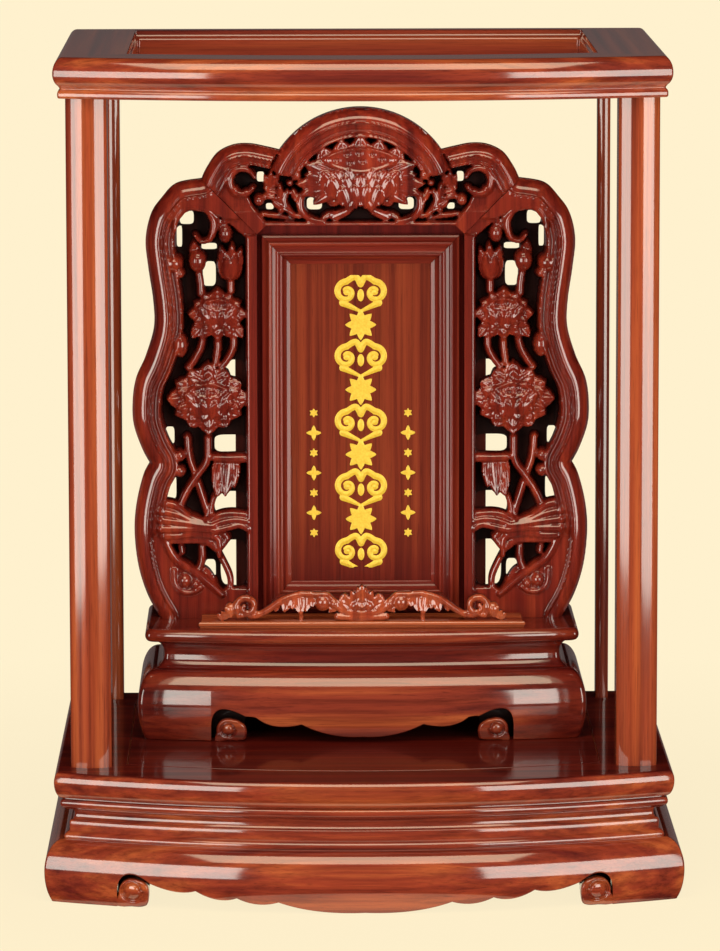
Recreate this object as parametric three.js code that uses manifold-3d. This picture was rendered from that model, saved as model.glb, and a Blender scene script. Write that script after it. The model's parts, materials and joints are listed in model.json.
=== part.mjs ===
// An ancestor shrine of red lacquered hardwood: an open stand of base, posts and top frame, and the carved
// tablet that stands in it. Millimetres, +Z up, +X to the right of someone who faces it, -Y towards them.
// The origin is the middle of the footprint, on the floor.

import * as THREE from "three";
import { mergeVertices } from "three/addons/utils/BufferGeometryUtils.js";
import Module from "manifold-3d";

const wasm = await Module();
wasm.setup();

// Driving dimensions: clearances
const MITRE_GAP = 0.3;
const SEAT_GAP = 0.3;
const TENON_CLEARANCE = 0.3;
const RUNNING_CLEARANCE = 0.4;
const TABLET_SEAT_GAP = 0.2;

// Driving dimensions: base of the shrine
const BASE_HALF_WIDTH = 220;
const BASE_DEPTH = 356;
const BASE_BOW = 43;
const BASE_SKIRT_HEIGHT = 45;
const BASE_SKIRT_BULGE = 10.2;
const BASE_SKIRT_THICKNESS = 26;
const BASE_WAIST_HEIGHT = 30;
const BASE_WAIST_THICKNESS = 24;
const BASE_WAIST_SETBACK = 4;
const BASE_STEP_SETBACK = 7.8;
const BASE_COVE_SETBACK = 11.7;
const BASE_BEAD_SETBACK = 1.5;
const BASE_BOARD_THICKNESS = 19;
const BASE_BOARD_NOSE = 2.9;
const BASE_SCROLL_RADIUS = 9;
const BASE_SCROLL_FROM_CORNER = 65.5;
const BASE_SCROLL_ARCH = 16.5;
const BASE_CORNER_BLOCK = 22;
const CORNER_BLOCK_LIFT = 3;
const GROOVE_WIDTH = 1.6;
const GROOVE_DEPTH = 1.6;
const FRONT_GROOVE_SETBACK = 43.5;
const SIDE_GROOVE_SETBACK = 49;

// Driving dimensions: the belly of both skirts, and how far their arches clear the scrolls
const BELLY_SWELL = 13.6;
const BELLY_FOOT_ANGLE = -54;
const SCROLL_SIDE_GAP = 2.5;
const SCROLL_END_GAP = 4;
const SCROLL_LIFT = 0.3;
const SCROLL_EYE_SHARE = 0.6;

// Driving dimensions: posts
const POST_HEIGHT = 482.8;
const FRONT_POST_WIDTH = 29.4;
const FRONT_POST_DEPTH = 30;
const FRONT_POST_CROWN = 4.4;
const FRONT_POST_SIDE_SETBACK = 8.8;
const FRONT_POST_SETBACK = 14;
const REAR_POST_WIDTH = 9.7;
const REAR_POST_DEPTH = 15;
const REAR_POST_CROWN = 1.8;
const REAR_POST_SIDE_SETBACK = 29.5;
const REAR_POST_SETBACK = 14.5;
const TENON_LENGTH = 12;
const FRONT_TENON_SIDE = 14;
const REAR_TENON_SIDE = 5.5;

// Driving dimensions: top frame
const TOP_SIDE_SETBACK = 6.2;
const TOP_FRONT_SETBACK = 15.5;
const TOP_REAR_SETBACK = 6.5;
const TOP_BOW = 30;
const TOP_FRAME_HEIGHT = 29.2;
const TOP_SIDE_RAIL = 45;
const TOP_FRONT_RAIL = 42;
const TOP_REAR_RAIL = 14;
const TOP_NOSE = 6.1;
const TOP_BEAD = 2.8;
const TOP_INNER_STEP = 2.7;
const TOP_INNER_EDGE = 3;
const TOP_INNER_OGEE = 5;

// Driving dimensions: pedestal of the tablet
const PEDESTAL_HALF_WIDTH = 156;
const PEDESTAL_DEPTH = 123.5;
const PEDESTAL_FRONT_Y = -23.5;
const PEDESTAL_BOW = 14;
const PEDESTAL_SKIRT_HEIGHT = 52;
const PEDESTAL_SKIRT_BULGE = 9.7;
const PEDESTAL_SKIRT_THICKNESS = 20;
const PEDESTAL_NECK_HEIGHT = 20.5;
const PEDESTAL_NECK_SETBACK = 9.5;
const PEDESTAL_NECK_THICKNESS = 14;
const PEDESTAL_BOARD_THICKNESS = 9.5;
const PEDESTAL_BOARD_NOSE = 4;
const PEDESTAL_SCROLL_RADIUS = 8.4;
const PEDESTAL_SCROLL_FROM_CORNER = 66;
const PEDESTAL_SIDE_SCROLL_FROM_CORNER = 36;
const PEDESTAL_SCROLL_ARCH = 18.9;
const PEDESTAL_CORNER_BLOCK = 16;

// Driving dimensions: tablet panel
const PANEL_FRONT_Y = 30;
const PANEL_THICKNESS = 22;
const RELIEF_DEPTH = 6;
const FRAME_SIDE_MARGIN = 3.6;
const FRAME_TOP_MARGIN = 0.8;
const WING_STRIP = 7.8;
const WING_FIELD_LIFT = 10;
const SEAM_REACH = 40.7;
const CREST_CHAMFER = 6.7;
const CREST_RADIUS = 72.8;
const CREST_RISE = 93.4;
const CREST_ARCH_ANGLE = 34.5;
const CREST_RIM = 22.8;
const CREST_LOTUS = { halfWidth: 37.5, halfHeight: 18.6, swell: 9, lift: 22 };
const SILL_HEIGHT = 4.5;
const SILL_HALF_WIDTH = 120;
const SILL_FRONT_SETBACK = 16.2;
const FRAME_OUTER_X = 73;
const FRAME_WIDTH = 21.4;
const FRAME_HEIGHT = 280.1;
const FRAME_LIFT = 6.3;
const FRAME_DEPTH = 13;
const BOARD_RECESS = 8.7;
const BOARD_THICKNESS = 3.6;
const BOARD_REBATE = 4;
const BACK_THICKNESS = 8;
const ORNAMENT_HALF_WIDTH = 112;
const ORNAMENT_THICKNESS = 9;
const ORNAMENT_SETBACK = 1.5;

// Driving dimensions: case on the back of the tablet
const CASE_OUTER_X = 93.2;
const CASE_WALL = 8;
const CASE_DEPTH = 40;
const CASE_HEIGHT = 290;
const LID_THICKNESS = 5;
const LID_GROOVE_DEPTH = 4;
const LID_REAR_WALL = 4;
const LID_GRIP_WIDTH = 34;
const LID_GRIP_DEPTH = 2.2;
const LID_GRIP_DROP = 14;
const SLIP_COUNT = 4;
const SLIP_THICKNESS = 4;
const SLIP_SPACING = 5.6;
const SLIP_WIDTH = 46;
const SLIP_HEIGHT = 210;

// Heights and faces that follow from them
const WAIST_Z = BASE_SKIRT_HEIGHT;
const BOARD_Z = WAIST_Z + BASE_WAIST_HEIGHT;
const FLOOR_Z = BOARD_Z + BASE_BOARD_THICKNESS;
const TOP_Z = FLOOR_Z + POST_HEIGHT;
const BASE_REAR_Y = BASE_DEPTH / 2;
const BASE_CORNER_Y = BASE_BOW - BASE_DEPTH / 2;
const TOP_HALF_WIDTH = BASE_HALF_WIDTH - TOP_SIDE_SETBACK;
const SIDE_GROOVE_X = BASE_HALF_WIDTH - SIDE_GROOVE_SETBACK;
const FRONT_POST_X = BASE_HALF_WIDTH - FRONT_POST_SIDE_SETBACK - FRONT_POST_WIDTH / 2;
const REAR_POST_X = BASE_HALF_WIDTH - REAR_POST_SIDE_SETBACK - REAR_POST_WIDTH / 2;
const PEDESTAL_Z = FLOOR_Z + TABLET_SEAT_GAP;
const NECK_Z = PEDESTAL_Z + PEDESTAL_SKIRT_HEIGHT;
const PEDESTAL_BOARD_Z = NECK_Z + PEDESTAL_NECK_HEIGHT;
const PANEL_Z = PEDESTAL_BOARD_Z + PEDESTAL_BOARD_THICKNESS;
const PANEL_REAR_Y = PANEL_FRONT_Y + PANEL_THICKNESS;
const BACK_FRONT_Y = PANEL_REAR_Y - BACK_THICKNESS;
const WING_INNER_X = FRAME_OUTER_X + FRAME_SIDE_MARGIN;
const SEAM_OUTER_X = WING_INNER_X + SEAM_REACH;
const SEAM_Z = PANEL_Z + FRAME_LIFT + FRAME_HEIGHT + FRAME_TOP_MARGIN;
const SEAM_OUTER_Z = SEAM_Z + SEAM_REACH;
const SILL_TOP = PANEL_Z + SILL_HEIGHT;
const SILL_FRONT_Y = PEDESTAL_FRONT_Y + SILL_FRONT_SETBACK;

// Turns a three.js geometry into a closed manifold-3d solid.
function solid(geometry) {
  const bare = geometry.clone();
  for (const name of Object.keys(bare.attributes)) {
    if (name !== "position") bare.deleteAttribute(name);
  }
  const merged = mergeVertices(bare, 1e-4);
  return new wasm.Manifold(
    new wasm.Mesh({
      numProp: 3,
      vertProperties: new Float32Array(merged.attributes.position.array),
      triVerts: new Uint32Array(merged.index.array),
    }),
  );
}

// Turns a manifold-3d solid back into a three.js geometry.
function geometryOf(made) {
  const mesh = made.getMesh();
  const geometry = new THREE.BufferGeometry();
  geometry.setAttribute("position", new THREE.BufferAttribute(mesh.vertProperties, 3));
  geometry.setIndex(new THREE.BufferAttribute(mesh.triVerts, 1));
  return geometry;
}

// Joins geometries into one closed geometry.
function join(...geometries) {
  return geometryOf(geometries.map(solid).reduce((a, b) => a.add(b)));
}

// Cuts every tool out of a body.
function cut(body, ...tools) {
  return geometryOf(tools.map(solid).reduce((a, b) => a.subtract(b), solid(body)));
}

// A box between two corners.
function box(x0, x1, y0, y1, z0, z1) {
  const geometry = new THREE.BoxGeometry(Math.abs(x1 - x0), y1 - y0, z1 - z0);
  geometry.translate((x0 + x1) / 2, (y0 + y1) / 2, (z0 + z1) / 2);
  return geometry;
}

// A shape drawn in X and Z, as thick as the distance from its front face to its rear face along Y.
function slab(shape, frontY, rearY, curveSegments = 6) {
  const depth = rearY - frontY;
  const geometry = new THREE.ExtrudeGeometry(shape, { depth, bevelEnabled: false, curveSegments });
  geometry.rotateX(Math.PI / 2);
  geometry.translate(0, rearY, 0);
  return geometry;
}

// A shape drawn in X and Y that stands from one height to another.
function prism(shape, z0, z1, curveSegments = 6) {
  const geometry = new THREE.ExtrudeGeometry(shape, {
    depth: z1 - z0,
    bevelEnabled: false,
    curveSegments,
  });
  geometry.translate(0, 0, z0);
  return geometry;
}

// The signed volume that an indexed geometry encloses.
function volume(geometry) {
  const position = geometry.attributes.position;
  const [a, b, c] = [0, 1, 2].map(() => new THREE.Vector3());
  let sum = 0;
  for (let i = 0; i < geometry.index.count; i += 3) {
    a.fromBufferAttribute(position, geometry.index.getX(i));
    b.fromBufferAttribute(position, geometry.index.getX(i + 1));
    c.fromBufferAttribute(position, geometry.index.getX(i + 2));
    sum += a.dot(b.cross(c)) / 6;
  }
  return sum;
}

// A closed skin through rings of points that all follow one closed outline, with both ends capped.
// The outline runs anticlockwise in o and z, and is only used to fill the two ends.
function loft(rings, outline) {
  const count = outline.length;
  const index = [];
  for (let i = 0; i + 1 < rings.length; i += 1) {
    for (let j = 0; j < count; j += 1) {
      const a = i * count + j;
      const b = i * count + ((j + 1) % count);
      index.push(a, b, b + count, a, b + count, a + count);
    }
  }
  const flat = outline.map((p) => new THREE.Vector2(p.o, p.z));
  const last = (rings.length - 1) * count;
  for (const [a, b, c] of THREE.ShapeUtils.triangulateShape(flat, [])) {
    const left = THREE.ShapeUtils.area([flat[a], flat[b], flat[c]]) > 0;
    const [p, q] = left ? [b, c] : [c, b];
    index.push(a, q, p, last + a, last + p, last + q);
  }
  const geometry = new THREE.BufferGeometry();
  geometry.setAttribute("position", new THREE.Float32BufferAttribute(rings.flat(2), 3));
  geometry.setIndex(index);
  if (volume(geometry) < 0) {
    const turned = [];
    for (let i = 0; i < index.length; i += 3) turned.push(index[i], index[i + 2], index[i + 1]);
    geometry.setIndex(turned);
  }
  return geometry;
}

// Points on an ellipse arc of a profile, between two angles in degrees from straight outwards.
function arc(o, z, ro, rz, from, to, steps) {
  return Array.from({ length: steps + 1 }, (_, i) => {
    const a = THREE.MathUtils.degToRad(from + ((to - from) * i) / steps);
    return { o: o + ro * Math.cos(a), z: z + rz * Math.sin(a) };
  });
}

// The plan of a moulded frame: straight sides and back, and a front that bows forward on an arc.
// A profile point stands o outside the plan's edge, or o outside the rail's inner edge if inner is set.
class Plan {
  constructor({ halfWidth, cornerY, rearY, bow, side = 0, front = 0, rear = 0 }) {
    Object.assign(this, { halfWidth, rearY, side, front, rear });
    this.radius = (halfWidth ** 2 + bow ** 2) / (2 * bow);
    this.centreY = cornerY - bow + this.radius;
  }

  reach(p, rail) {
    return p.inner ? p.o - this[rail] : p.o;
  }

  sideX(p) {
    return this.halfWidth + this.reach(p, "side");
  }

  frontY(p, x) {
    return this.centreY - Math.sqrt((this.radius + this.reach(p, "front")) ** 2 - x ** 2);
  }

  cornerY(p) {
    return this.frontY(p, this.sideX(p));
  }

  backY(p) {
    return this.rearY + this.reach(p, "rear");
  }

  // The section that fills the ends of a rail, drawn as wide as the side rails.
  section(profile) {
    return profile.map((p) => ({ o: this.reach(p, "side"), z: p.z }));
  }

  // The points of the bowed front at one height, from left to right.
  frontPoints(p, steps, halfX = this.sideX(p)) {
    return Array.from({ length: steps + 1 }, (_, i) => {
      const x = halfX * ((2 * i) / steps - 1);
      return [x, this.frontY(p, x), p.z];
    });
  }

  frontRail(profile, steps = 20) {
    const lines = profile.map((p) => this.frontPoints(p, steps));
    const rings = lines[0].map((_, i) => lines.map((line) => line[i]));
    return loft(rings, this.section(profile));
  }

  sideRail(profile, side) {
    const front = profile.map((p) => [side * this.sideX(p), this.cornerY(p) + MITRE_GAP, p.z]);
    const rear = profile.map((p) => [side * this.sideX(p), this.backY(p) - MITRE_GAP, p.z]);
    return loft([front, rear], this.section(profile));
  }

  rearRail(profile) {
    const ends = [-1, 1].map((side) =>
      profile.map((p) => [side * this.sideX(p), this.backY(p), p.z]),
    );
    return loft(ends, this.section(profile));
  }

  // A board with this plan, whose edge follows the points from bottom to top.
  board(edge, steps = 20) {
    const rings = edge.map((p) => {
      const rear = [1, -1].map((side) => [side * this.sideX(p), this.backY(p), p.z]);
      return [...this.frontPoints(p, steps), ...rear];
    });
    const outline = rings[0].map(([x, y]) => ({ o: x, z: y }));
    return loft(rings, outline);
  }

  // A groove cutter that follows the front at a setback, between two heights.
  frontGroove(setback, width, z0, z1, halfX, steps = 16) {
    const section = [
      { o: -setback - width / 2, z: z0 },
      { o: -setback + width / 2, z: z0 },
      { o: -setback + width / 2, z: z1 },
      { o: -setback - width / 2, z: z1 },
    ];
    const lines = section.map((p) => this.frontPoints(p, steps, halfX));
    const rings = lines[0].map((_, i) => lines.map((line) => line[i]));
    return loft(rings, section);
  }
}

const group = new THREE.Group();
const LACQUER = { color: 0x9b4230, roughness: 0.22 };
const SHADED_LACQUER = { color: 0x7a2a20, roughness: 0.3 };
const BARE_WOOD = { color: 0x8a5a3c, roughness: 0.6 };

function piece(name, geometry, finish = LACQUER) {
  const mesh = new THREE.Mesh(geometry, new THREE.MeshStandardMaterial(finish));
  mesh.name = name;
  group.add(mesh);
}

// The section of a skirt: a belly that is fullest halfway up, and a flat inner face.
function skirtProfile({ z, height, bulge, thickness }) {
  const shoulder = bulge - BELLY_SWELL;
  const middle = z + height / 2;
  const lowerRise = height / 2 / Math.sin(THREE.MathUtils.degToRad(-BELLY_FOOT_ANGLE));
  const lower = arc(shoulder, middle, BELLY_SWELL, lowerRise, BELLY_FOOT_ANGLE, -13, 3);
  const upper = arc(shoulder, middle, BELLY_SWELL, height / 2, 0, 90, 6);
  lower[0].z = z;
  upper.at(-1).z = z + height;
  const inner = bulge - thickness;
  return [...lower, ...upper, { o: inner, z: z + height }, { o: inner, z }];
}

// The outline that is cut from under a skirt: an arch over each scroll, then cusps towards the middle.
// A cusp has its share of the way from the middle to the scroll, its height, and how low the curve
// between it and the cusp before hangs.
function underCut(halfSpan, { radius, fromCorner, arch }, cusps, z) {
  const scrollX = halfSpan - fromCorner;
  const archEnd = scrollX - radius - SCROLL_END_GAP;
  const half = new THREE.Path();
  half.moveTo(-scrollX - radius - SCROLL_SIDE_GAP, z + radius + SCROLL_SIDE_GAP);
  half.bezierCurveTo(
    -scrollX - radius,
    z + radius + arch * 1.15,
    -scrollX + radius * 0.6,
    z + radius + arch * 1.15,
    -archEnd,
    z + radius + arch * 0.7,
  );
  for (const { share, height, hang } of cusps) {
    const from = half.currentPoint.x;
    half.quadraticCurveTo((from - scrollX * share) / 2, z + hang, -scrollX * share, z + height);
  }
  const points = half.getPoints(4);
  const mirrored = points.slice(0, -1).reverse().map((p) => new THREE.Vector2(-p.x, p.y));
  const below = [1, -1].map((side) => new THREE.Vector2(side * (scrollX - radius * 0.5), z - 3));
  return new THREE.Shape([...points, ...mirrored, ...below]);
}

// The two scroll eyes at the ends of a skirt's feet: short round bosses along Y.
function scrollEyes(halfSpan, { radius, fromCorner }, z, frontY, rearY) {
  return [-1, 1].map((side) => {
    const eye = new THREE.CylinderGeometry(radius, radius, rearY - frontY, 18);
    eye.translate(side * (halfSpan - fromCorner), (frontY + rearY) / 2, z + radius + SCROLL_LIFT);
    return eye;
  });
}

// A skirt round a plan: four mitred pieces, each with cusps and scroll feet. The rear one can be plain.
function addSkirt(prefix, plan, skirt) {
  const { z, bulge, thickness, scroll, sideScroll, frontCusps, sideCusps, plainRear } = skirt;
  const profile = skirtProfile(skirt);
  const outer = { o: bulge };
  const edge = { o: bulge * 0.5 };
  const inner = { o: bulge - thickness };
  const eyeLength = thickness * SCROLL_EYE_SHARE;
  const halfX = plan.sideX(outer);

  const frontTool = slab(
    underCut(halfX, scroll, frontCusps, z),
    plan.frontY(outer, 0) - 1,
    plan.cornerY(inner) + 1,
  );
  const eyeFront = plan.frontY(edge, halfX - scroll.fromCorner);
  const frontEyes = scrollEyes(halfX, scroll, z, eyeFront, eyeFront + eyeLength);
  piece(`${prefix}_apron_front`, join(cut(plan.frontRail(profile), frontTool), ...frontEyes));

  if (plainRear) {
    piece(`${prefix}_apron_rear`, plan.rearRail(profile));
  } else {
    const rearTool = slab(
      underCut(halfX, scroll, frontCusps, z),
      plan.backY(inner) - 1,
      plan.backY(outer) + 1,
    );
    const rearEyes = scrollEyes(halfX, scroll, z, plan.backY(edge) - eyeLength, plan.backY(edge));
    piece(`${prefix}_apron_rear`, join(cut(plan.rearRail(profile), rearTool), ...rearEyes));
  }

  const halfY = (plan.backY(outer) - plan.cornerY(outer)) / 2;
  const middleY = plan.backY(outer) - halfY;
  const eyeSide = plan.sideX(edge);
  for (const [side, word] of [
    [-1, "left"],
    [1, "right"],
  ]) {
    const sideTool = slab(underCut(halfY, sideScroll, sideCusps, z), -halfX - 1, -plan.sideX(inner) + 1);
    const sideEyes = scrollEyes(halfY, sideScroll, z, -eyeSide, -eyeSide + eyeLength);
    for (const geometry of [sideTool, ...sideEyes]) {
      geometry.rotateZ((side * Math.PI) / 2);
      geometry.translate(0, middleY, 0);
    }
    piece(`${prefix}_apron_${word}`, join(cut(plan.sideRail(profile, side), sideTool), ...sideEyes));
  }
}

// Four square blocks that stiffen the inside corners of a skirt.
function addCornerBlocks(prefix, plan, { z, height, bulge, thickness }, size) {
  const inner = { o: bulge - thickness };
  const outerX = plan.sideX(inner) - SEAT_GAP;
  const frontY = plan.frontY(inner, outerX - SEAT_GAP) + SEAT_GAP;
  const rearY = plan.backY(inner) - SEAT_GAP;
  for (const [side, word] of [
    [-1, "left"],
    [1, "right"],
  ]) {
    const x0 = side < 0 ? -outerX : outerX - size;
    const bottom = z + CORNER_BLOCK_LIFT;
    const top = z + height;
    piece(`${prefix}_block_front_${word}`, box(x0, x0 + size, frontY, frontY + size, bottom, top), BARE_WOOD);
    piece(`${prefix}_block_rear_${word}`, box(x0, x0 + size, rearY - size, rearY, bottom, top), BARE_WOOD);
  }
}

// Base: skirt, waist rails and board
const basePlan = new Plan({
  halfWidth: BASE_HALF_WIDTH,
  cornerY: BASE_CORNER_Y,
  rearY: BASE_REAR_Y,
  bow: BASE_BOW,
});
const baseScroll = {
  radius: BASE_SCROLL_RADIUS,
  fromCorner: BASE_SCROLL_FROM_CORNER,
  arch: BASE_SCROLL_ARCH,
};
const baseSkirt = {
  z: 0,
  height: BASE_SKIRT_HEIGHT,
  bulge: BASE_SKIRT_BULGE,
  thickness: BASE_SKIRT_THICKNESS,
  scroll: baseScroll,
  sideScroll: baseScroll,
  frontCusps: [
    { share: 0.728, height: 14.8, hang: 12.3 },
    { share: 0.553, height: 10.6, hang: 5.1 },
    { share: 0.372, height: 8, hang: 3.3 },
    { share: 0, height: 0.5, hang: -1.2 },
  ],
  sideCusps: [
    { share: 0.6, height: 12.5, hang: 9 },
    { share: 0, height: 1.2, hang: 0.8 },
  ],
};
addSkirt("base", basePlan, baseSkirt);
addCornerBlocks("base", basePlan, baseSkirt, BASE_CORNER_BLOCK);

// The waist steps in under the board: bead, cove, step and ogee, from top to bottom. Each point has its
// setback from the plan's edge and its share of the height.
const waistInner = BASE_WAIST_SETBACK + BASE_WAIST_THICKNESS;
const waistProfile = [
  [BASE_WAIST_SETBACK, 0],
  [BASE_WAIST_SETBACK, 0.117],
  [BASE_STEP_SETBACK, 0.183],
  [BASE_STEP_SETBACK, 0.4],
  [BASE_COVE_SETBACK * 0.906, 0.45],
  [BASE_COVE_SETBACK, 0.567],
  [BASE_COVE_SETBACK * 0.8, 0.683],
  [BASE_WAIST_SETBACK, 0.733],
  [BASE_BEAD_SETBACK, 0.817],
  [BASE_BEAD_SETBACK, 0.917],
  [BASE_BEAD_SETBACK * 2, 1],
  [waistInner, 1],
  [waistInner, 0],
].map(([setback, share]) => ({ o: -setback, z: WAIST_Z + BASE_WAIST_HEIGHT * share }));
piece("base_waist_front", basePlan.frontRail(waistProfile));
piece("base_waist_left", basePlan.sideRail(waistProfile, -1));
piece("base_waist_right", basePlan.sideRail(waistProfile, 1));
piece("base_waist_rear", basePlan.rearRail(waistProfile));

// Top frame: four mitred rails with a half-round nose over a small bead
const topPlan = new Plan({
  halfWidth: TOP_HALF_WIDTH,
  cornerY: BASE_CORNER_Y + TOP_FRONT_SETBACK,
  rearY: BASE_REAR_Y - TOP_REAR_SETBACK,
  bow: TOP_BOW,
  side: TOP_SIDE_RAIL,
  front: TOP_FRONT_RAIL,
  rear: TOP_REAR_RAIL,
});
const topNoseZ = TOP_Z + TOP_FRAME_HEIGHT * 0.6;
const topProfile = [
  { o: 0, z: TOP_Z },
  { o: TOP_BEAD, z: TOP_Z + TOP_FRAME_HEIGHT * 0.07 },
  { o: TOP_BEAD, z: TOP_Z + TOP_FRAME_HEIGHT * 0.155 },
  { o: TOP_BEAD * 0.3, z: TOP_Z + TOP_FRAME_HEIGHT * 0.222 },
  ...arc(-1, topNoseZ, TOP_NOSE + 1, TOP_FRAME_HEIGHT * 0.33, -62, 0, 4),
  ...arc(-1, topNoseZ, TOP_NOSE + 1, TOP_FRAME_HEIGHT * 0.4, 22, 82, 4),
  { o: -0.6, z: TOP_Z + TOP_FRAME_HEIGHT },
  { o: 0, z: TOP_Z + TOP_FRAME_HEIGHT, inner: true },
  { o: 0, z: TOP_Z + TOP_FRAME_HEIGHT - TOP_INNER_EDGE, inner: true },
  { o: -TOP_INNER_STEP, z: TOP_Z + TOP_FRAME_HEIGHT - TOP_INNER_EDGE - TOP_INNER_OGEE, inner: true },
  { o: -TOP_INNER_STEP, z: TOP_Z, inner: true },
];

// Posts with their tenons, and the mortises that take them
const postFrontY = BASE_CORNER_Y + FRONT_POST_SETBACK;
const postRearY = BASE_REAR_Y - REAR_POST_SETBACK;
const posts = [];
for (const [side, word] of [
  [-1, "left"],
  [1, "right"],
]) {
  posts.push({
    name: `post_front_${word}`,
    x: side * FRONT_POST_X,
    y: postFrontY + FRONT_POST_DEPTH / 2,
    width: FRONT_POST_WIDTH,
    depth: FRONT_POST_DEPTH,
    crown: FRONT_POST_CROWN,
    tenon: FRONT_TENON_SIDE,
  });
  posts.push({
    name: `post_rear_${word}`,
    x: side * REAR_POST_X,
    y: postRearY - REAR_POST_DEPTH / 2,
    width: REAR_POST_WIDTH,
    depth: REAR_POST_DEPTH,
    crown: REAR_POST_CROWN,
    tenon: REAR_TENON_SIDE,
  });
}

// A post's section: a square back and a front that bulges on an arc.
function postSection({ x, y, width, depth, crown }) {
  const radius = (width ** 2 / 4 + crown ** 2) / (2 * crown);
  const front = y - depth / 2;
  const rear = y + depth / 2;
  const half = Math.asin(width / 2 / radius);
  const shape = new THREE.Shape();
  shape.moveTo(x + width / 2, rear);
  shape.lineTo(x - width / 2, rear);
  shape.absarc(x, front + radius, radius, -Math.PI / 2 - half, -Math.PI / 2 + half, false);
  return shape;
}

function tenon({ x, y, tenon: side }, z0, z1, slack = 0) {
  const half = side / 2 + slack;
  return box(x - half, x + half, y - half, y + half, z0, z1);
}

const mortiseDepth = TENON_LENGTH + SEAT_GAP;
for (const post of posts) {
  const stem = prism(postSection(post), FLOOR_Z, TOP_Z, 12);
  const pegs = tenon(post, FLOOR_Z - TENON_LENGTH, TOP_Z + TENON_LENGTH);
  piece(post.name, join(stem, pegs));
}
const boardMortises = posts.map((p) => tenon(p, FLOOR_Z - mortiseDepth, FLOOR_Z + 1, TENON_CLEARANCE));
const topMortises = posts.map((p) => tenon(p, TOP_Z - 1, TOP_Z + mortiseDepth, TENON_CLEARANCE));

piece("top_rail_front", cut(topPlan.frontRail(topProfile), ...topMortises));
piece("top_rail_left", cut(topPlan.sideRail(topProfile, -1), ...topMortises));
piece("top_rail_right", cut(topPlan.sideRail(topProfile, 1), ...topMortises));
piece("top_rail_rear", cut(topPlan.rearRail(topProfile), ...topMortises));

// Floor board of the shrine, with mortises and the fine grooves round the tablet's place
const boardEdge = [
  ...arc(-3, BOARD_Z + 11.5, BASE_BOARD_NOSE + 3, 11.5, -90, 0, 5),
  ...arc(-1, BOARD_Z + 11.5, BASE_BOARD_NOSE + 1, 7.5, 22, 90, 4),
];
const grooveBottom = FLOOR_Z - GROOVE_DEPTH;
const sideGrooveFront = basePlan.frontY({ o: -FRONT_GROOVE_SETBACK }, SIDE_GROOVE_X);
const sideGrooveRear = postRearY - REAR_POST_DEPTH;
const sideGrooves = [-1, 1].map((side) =>
  box(
    side * SIDE_GROOVE_X - GROOVE_WIDTH / 2,
    side * SIDE_GROOVE_X + GROOVE_WIDTH / 2,
    sideGrooveFront,
    sideGrooveRear,
    grooveBottom,
    FLOOR_Z + 1,
  ),
);
const frontGroove = basePlan.frontGroove(
  FRONT_GROOVE_SETBACK,
  GROOVE_WIDTH,
  grooveBottom,
  FLOOR_Z + 1,
  SIDE_GROOVE_X + GROOVE_WIDTH / 2,
);
piece("base_board", cut(basePlan.board(boardEdge), ...boardMortises, frontGroove, ...sideGrooves));

// Pedestal of the tablet: skirt, hollow neck and board
const pedestalPlan = new Plan({
  halfWidth: PEDESTAL_HALF_WIDTH,
  cornerY: PEDESTAL_FRONT_Y + PEDESTAL_BOW,
  rearY: PEDESTAL_FRONT_Y + PEDESTAL_DEPTH,
  bow: PEDESTAL_BOW,
});
const pedestalScroll = {
  radius: PEDESTAL_SCROLL_RADIUS,
  fromCorner: PEDESTAL_SCROLL_FROM_CORNER,
  arch: PEDESTAL_SCROLL_ARCH,
};
const pedestalSkirt = {
  z: PEDESTAL_Z,
  height: PEDESTAL_SKIRT_HEIGHT,
  bulge: PEDESTAL_SKIRT_BULGE,
  thickness: PEDESTAL_SKIRT_THICKNESS,
  scroll: pedestalScroll,
  sideScroll: { ...pedestalScroll, fromCorner: PEDESTAL_SIDE_SCROLL_FROM_CORNER },
  frontCusps: [
    { share: 0.448, height: 13.8, hang: 7.1 },
    { share: 0, height: 4.1, hang: 2.6 },
  ],
  sideCusps: [{ share: 0, height: 9, hang: 9 }],
  plainRear: true,
};
addSkirt("pedestal", pedestalPlan, pedestalSkirt);
addCornerBlocks("pedestal", pedestalPlan, pedestalSkirt, PEDESTAL_CORNER_BLOCK);

const neckEdge = [
  [PEDESTAL_NECK_SETBACK * 0.47, 0],
  [PEDESTAL_NECK_SETBACK * 0.63, 0.154],
  [PEDESTAL_NECK_SETBACK, 0.41],
  [PEDESTAL_NECK_SETBACK, 0.667],
  [PEDESTAL_NECK_SETBACK * 0.63, 0.872],
  [PEDESTAL_NECK_SETBACK * 0.32, 1],
].map(([setback, share]) => ({ o: -setback, z: NECK_Z + PEDESTAL_NECK_HEIGHT * share }));
const neckHollow = { o: -PEDESTAL_NECK_SETBACK - PEDESTAL_NECK_THICKNESS };
const hollowEdge = [NECK_Z - 1, PEDESTAL_BOARD_Z + 1].map((z) => ({ ...neckHollow, z }));
piece("pedestal_neck", cut(pedestalPlan.board(neckEdge), pedestalPlan.board(hollowEdge)));

const pedestalNoseZ = PEDESTAL_BOARD_Z + PEDESTAL_BOARD_THICKNESS * 0.5;
const pedestalEdge = [
  ...arc(0, pedestalNoseZ, PEDESTAL_BOARD_NOSE, PEDESTAL_BOARD_THICKNESS * 0.5, -90, 0, 4),
  ...arc(0, pedestalNoseZ, PEDESTAL_BOARD_NOSE, PEDESTAL_BOARD_THICKNESS * 0.5, 22.5, 90, 3),
];
piece("pedestal_board", pedestalPlan.board(pedestalEdge));

// Sill: a low step across the pedestal, in front of the panel
const sillX = SILL_HALF_WIDTH;
piece("sill", box(-sillX, sillX, SILL_FRONT_Y, PANEL_FRONT_Y - SEAT_GAP, PANEL_Z, SILL_TOP));

// The wings are drawn for a seam this high above the pedestal, and stretch with it.
const WING_DRAWN_HEIGHT = 287.2;
const wingStretch = (SEAM_Z - PANEL_Z) / WING_DRAWN_HEIGHT;

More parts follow.
